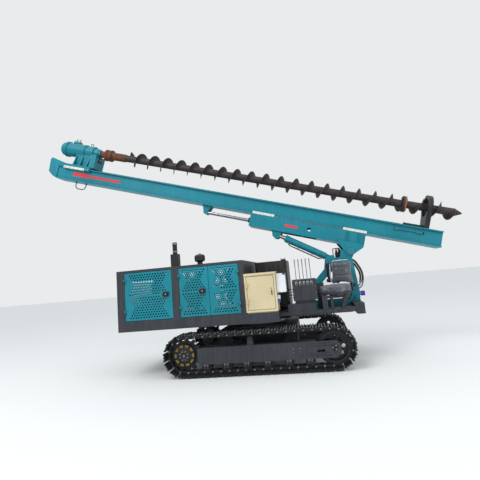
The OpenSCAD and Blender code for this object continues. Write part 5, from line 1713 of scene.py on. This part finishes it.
@dataclass
class Superstructure:
    """Small parts on the housing, the tank, the cabinet and the boxes.

    Attributes:
        roof: X of the exhaust stack and of the air cleaner, then the Y of both.
        stack: Radius of the exhaust stack.
        clamps: Heights of its clamps.
        tank: Place of the tank's cap.
        cap: Height of the cap.
        conduit: Place of the junction box's upper gland, in X and Y.
        coupler: Place of the quick coupler.
    """

    roof: tuple[float, float, float] = (-1.345, -0.91, -0.55)
    stack: float = 0.0405
    clamps: tuple[float, float] = (1.985, 2.12)
    tank: tuple[float, float, float] = (0.49, -0.29, 1.7025)
    cap: float = 0.03
    conduit: tuple[float, float] = (0.515, -0.85)
    coupler: tuple[float, float, float] = (1.69, -0.15, 1.02)

    def on_top(self) -> None:
        """Adds the exhaust clamps, the air cleaner's wing nut and the tank's fluted cap."""
        stack_x, cleaner_x, y = self.roof
        bands, radius = Form(), self.stack
        inner, outer = radius - 0.002, radius + 0.003
        for z in self.clamps:
            place = moved(stack_x, y, z)
            bands.turned([(inner, 0), (outer, 0), (outer, 0.018), (inner, 0.018)], place, 40)
            bands.box((-0.012, -radius - 0.016, 0.002), (0.012, -radius, 0.016), place, chamfer=0.001)
            bands.bolt(place @ moved(0.012, -radius - 0.009, 0.009) @ Axis.X.value, 0.006)
        top = moved(cleaner_x, y, 1.9045)
        bands.turned(mm(0, 0, 8, 0, 8, 12, 5, 20, 0, 21), top, 18)
        for turn in (0.0, math.pi):
            bands.box((0.004, -0.0025, 0.006), (0.024, 0.0025, 0.02), top @ Matrix.Rotation(turn, 4, "Z"),
                      chamfer=0.001)
        bands.zinc("roof_clamps")
        x, y, z = self.tank
        cap = Form()
        cap.prism(fluted(0.0445, 0.043, 36), self.cap, moved(x, y, z))
        cap.turned(mm(0, 0, 42.5, 0, 39, 4, 18, 5.5, 18, 2, 0, 2), moved(x, y, z + self.cap), 40)
        cap.piece("tank_cap_cover", "platform", "white_paint", [WHITE_PLASTIC])

    def on_boxes(self) -> None:
        """Adds the cabinet's pull, the junction box's screws and conduit, and the small breaker box."""
        pull = Form()
        pull.box((0.3035, -0.9705, 1.157), (0.3165, -0.9655, 1.223), chamfer=0.0015)
        pull.turned(mm(0, 0, 8.5, 0, 8.5, 3, 4, 3, 4, 1.5, 0, 1.5),
                    on_side(Side.RIGHT, 0.31, 0.9655, 1.25), 24)
        pull.piece("cabinet_pull", "cabinet_lid", "black_paint", [BLACK_PLASTIC])
        screws = Form()
        for x in (0.403, 0.515):
            for z in (1.189, 1.451):
                screws.turned(mm(0, 0, 5.8, 0, 5, 2, 0, 3), on_side(Side.RIGHT, x, 0.8995, z), 16)
        for y in (-0.855, -0.8, -0.745):
            screws.bolt(moved(0.459, y, 1.1755) @ Axis.DOWN.value, 0.012)
        screws.zinc("junction_box_screws")
        clamp, (x, y) = Form(), self.conduit
        clamp.box((0.496, -0.9025, 1.438), (0.5335, -0.874, 1.4705), chamfer=0.002)
        clamp.turned(mm(0, 0, 11, 0, 11, 10, 7.5, 14, 7.5, 26, 0, 26), moved(x, y, 1.4645), 18)
        bend = Course(upright(y), (x, 1.488), 90.0)
        bend.line(0.008).arc(0.024, -90.0).arc(0.024, -90.0).line(0.23)
        clamp.tube(bend.points(), 0.0055, 12)
        clamp.piece("junction_box_conduit", "platform", "hose_rubber", [BLACK_PLASTIC])
        breaker = Form()
        breaker.box((0.383, -0.87, 1.075), (0.424, -0.8, 1.135), chamfer=0.002)
        breaker.box((0.383, -0.866, 1.022), (0.42, -0.804, 1.075), mark=1, chamfer=0.002)
        breaker.box((0.424, -0.845, 1.096), (0.43, -0.825, 1.118), mark=1, chamfer=0.001)
        breaker.piece("breaker_box", "platform", "white_paint", [WHITE_PLASTIC, BREAKER_BLUE], bevel=0.0008)

    def on_tower(self) -> None:
        """Adds the quick coupler with its purple plug, and the bolts on the pins' caps."""
        place = moved(*self.coupler) @ Axis.X.value
        steel, plug, form = Form(), Form(), Form()
        steel.turned(mm(0, -30, 24, -30, 24, 12, 30, 14, 30, 34, 0, 34), place, 28)
        steel.zinc("tower_coupler")
        plug.prism(fluted(0.04, 0.0378, 20), 0.066, place @ moved(0, 0, 0.03), chamfer=0.004)
        plug.piece("tower_coupler_plug", "platform", "hose_rubber", [PURPLE_CAP])
        for side in Side:
            pivot = on_side(side, 1.64, 0.2315, 1.734)
            form.bolt_ring(pivot, 0.038, 6, 0.0075)
            form.turned(mm(0, 0, 6, 0, 4.5, 8, 5.5, 12, 0, 14), pivot, 14)
            foot = on_side(side, 1.65, 0.2288, 0.97)
            form.turned(mm(0, 0, 5.5, 0, 4.5, 8, 5.2, 11, 0, 12), foot, 12)
        form.zinc("tower_pin_bolts")

    def build(self) -> None:
        """Makes all of them."""
        self.on_top()
        self.on_boxes()
        self.on_tower()


@dataclass
class Carriage:
    """Bolts, pipe and plain stripe of the sliding carriage.

    Attributes:
        pads: Where the keeper pads begin and end along the mast.
        flange_n: Lower face of the top flanges.
        pipe_y: Distance of the grease pipes from the middle.
        pipe: Places of the pipes' points along the mast.
        clips: Places of their clips.
    """

    pads: tuple[tuple[float, float], ...] = ((-1.79, -1.394), (-0.185, 0.211))
    flange_n: float = 0.3205
    pipe_y: float = 0.1775
    pipe: tuple[float, ...] = (-1.372, -1.0, -0.6, -0.207)
    clips: tuple[float, ...] = (-1.355, -0.98, -0.6, -0.225)

    def build(self) -> None:
        """Makes the bolts, the pipe and the stripe."""
        bolts, pipe, stripe = Form(), Form(), Form()
        for side in Side:
            for start, end in self.pads:
                for k in range(6):
                    t = start + 0.035 + (end - start - 0.07) * k / 5
                    face = MAST @ moved(t, side * 0.15, self.flange_n + 0.0003)
                    bolts.bolt(face @ Axis.DOWN.value, 0.009)
                for t in (start + 0.06, (start + end) / 2, end - 0.06):
                    bolts.turned(mm(0, 0, 7, 0, 6, 2, 0, 3), MAST @ on_side(side, t, 0.1938, 0.362), 14)
            stripe.box((-1.185, side * 0.1898, 0.208), (-0.955, side * 0.1906, 0.25), MAST)
            y = side * self.pipe_y
            pipe.tube([MAST @ Vector((t, y, 0.3505)) for t in self.pipe], 0.0068, 14)
            for t in self.clips:
                pipe.box((t - 0.011, y - 0.011, 0.3398), (t + 0.011, y + 0.011, 0.35), MAST, chamfer=0.001)
        bolts.zinc("carriage_bolts", "carriage_body")
        pipe.piece("carriage_grease_pipes", "carriage_body", "bare_steel", [MACHINED])
        stripe.piece("carriage_plain_stripes", "carriage_body", "teal_paint", [STRIPE_RED])


@dataclass
class TiltCylinders:
    """Wiper rings, ports and feed pipes of the two tilt cylinders.

    Attributes:
        base: Pin at the barrel's foot, in X and Z.
        eye: Pin at the rod's end, in X and Z.
        y: Distance of the cylinders from the middle.
        barrel: Radius of the barrels.
        gland: Distance of a barrel's open end from its foot.
        ports: Distances of the ports from the foot.
        clips: Distances of the feed pipe's clips from the foot.
    """

    base: tuple[float, float] = (1.31, 1.64)
    eye: tuple[float, float] = (0.41, 2.16)
    y: float = 0.105
    barrel: float = 0.056
    gland: float = 0.862
    ports: tuple[float, float] = (0.165, 0.775)
    clips: tuple[float, float] = (0.33, 0.6)

    def build(self) -> None:
        """Makes them on both barrels, with the ports and pipes on the barrels' lower side."""
        rings, pipes = Form(), Form()
        along = Vector((self.eye[0] - self.base[0], 0, self.eye[1] - self.base[1])).normalized()
        turn = Matrix((Vector((0, 1, 0)).cross(along), Vector((0, 1, 0)), along)).transposed().to_4x4()
        deep, x = -self.barrel - 0.008, -self.barrel - 0.03
        first, last = self.ports
        for side in Side:
            foot = moved(self.base[0], side * self.y, self.base[1]) @ turn
            rings.turned(mm(30.5, 0, 46, 0, 43, 10, 34.5, 11.5, 32.5, 16, 30.5, 16),
                         foot @ moved(0, 0, self.gland), 40)
            rings.bolt_ring(foot @ moved(0, 0, self.gland), 0.0515, 8, 0.0045)
            for z in self.ports:
                pipes.box((-self.barrel - 0.02, -0.014, z - 0.016), (0.006 - self.barrel, 0.014, z + 0.016),
                          foot, chamfer=0.002)
            plane = foot @ Matrix(((0, -1, 0, x), (0, 0, 1, 0), (1, 0, 0, 0), (0, 0, 0, 1)))
            run = Course(plane, (0.19, 0.0), 0.0).line(0.53)
            start, turned, end = (foot @ Vector(spot) for spot in (
                (deep, 0, first), (x + 0.004, 0, last - 0.007), (deep, 0, last)))
            pipes.tube([start, *run.points(), turned, end], 0.006, 12, mark=1)
            for z in self.clips:
                pipes.box((x - 0.009, -0.01, z - 0.008), (0.003 - self.barrel, 0.01, z + 0.008), foot,
                          chamfer=0.001)
        rings.piece("cylinder_wiper_rings", "barrels", "bare_steel", [MACHINED])
        pipes.piece("cylinder_ports", "barrels", "bare_steel", [ZINC, BLACK_PLASTIC], smooth_degrees=50)


@dataclass
class MastTrim:
    """Plain stripes, head bolts and tensioner nuts of the mast.

    Attributes:
        web_y: Distance of the webs' outer faces from the middle.
        axle: The head's axle, in t and n.
        stripes: Low and high t, then low and high n of each stripe.
        nuts: Places of the tensioner's nuts along the mast, and the way that they face.
    """

    web_y: float = 0.125
    axle: tuple[float, float] = (-5.98, 0.524)
    stripes: tuple[tuple[float, ...], ...] = ((-5.536, -5.154, 0.442, 0.522), (-5.13, -4.5, 0.455, 0.505))
    nuts: tuple[tuple[float, int], ...] = ((1.0145, -1), (0.6905, 1))

    def build(self) -> None:
        """Makes them."""
        stripe, bolts = Form(), Form()
        t, n = self.axle
        for side in Side:
            for start, end, low, high in self.stripes:
                stripe.box((start, side * (self.web_y - 0.0004), low),
                           (end, side * (self.web_y + 0.0008), high), MAST)
            bolts.bolt_ring(MAST @ on_side(side, t, 0.1418, n), 0.084, 8, 0.0085)
            for place, turn in self.nuts:
                facing_t = Matrix.Rotation(turn * math.pi / 2, 4, "Y")
                bolts.bolt(MAST @ moved(place, side * 0.138, n) @ facing_t, 0.0195)
        stripe.piece("mast_plain_stripes", "mast_body", "teal_paint", [STRIPE_RED])
        bolts.zinc("mast_bolts", "mast_body")


# The CAD nodes under each finish. Pieces made later stand in for some of them
DRESSED = {
    CHASSIS_GREY: "carbody cross_beam_front cross_beam_rear track_frames deck housing valve_console "
                  "operator_mount slide_barrels",
    TRACK_BLACK: "track_right track_left sprockets idlers rollers feed_chain",
    MACHINED: "slew_ring engine",
    CHASSIS_BLACK: "oil_tank air_cleaner exhaust_stack auger_guide manifold",
    CABINET_BEIGE: "cabinet cabinet_door",
    BOX_WHITE: "junction_box",
    DOOR_TEAL: "door_right_rear door_right_mid door_right_front door_left_rear door_left_mid door_left_front",
    MAST_TEAL: "tower cylinder_barrels carriage mast mast_head chain_tensioner slide_bracket saddle "
               "rotary_head",
    CHROME: "cylinder_rods slide_rods",
    WEAR_STRIP: "keeper_pads saddle_pads",
    HOSE_RUBBER: "tower_hose_inner tower_hose_outer mast_hose",
    RUSTY: "auger_stem",
    FLIGHT_PRIMER: "auger_flight",
    UPHOLSTERY: "operator_cushion operator_backrest",
    BLACK_PLASTIC: "armrest",
    ZINC: "levers",
}


def dress_frame() -> None:
    """Gives every CAD node its finish."""
    for finish, nodes in DRESSED.items():
        for node in nodes.split():
            mesh = frame["nodes"][node].data
            mesh.materials.clear()
            mesh.materials.append(finish.material())


def main() -> None:
    """Builds the studio, the cords and every sub-assembly."""
    logging.basicConfig(level=logging.INFO, format="%(name)s %(message)s")
    Studio().build()
    TowerHoses().build()
    MastHose().build()
    dress_frame()
    for group in (Track(Side.RIGHT), Track(Side.LEFT), RunningGear(), Auger(), RotaryHead(), FeedChain(),
                  ManifoldPipes(), OperatorChair(), DoorFittings(), Console(), Superstructure(), Carriage(),
                  TiltCylinders(), MastTrim()):
        group.build()


if __name__ == "__main__":
    main()
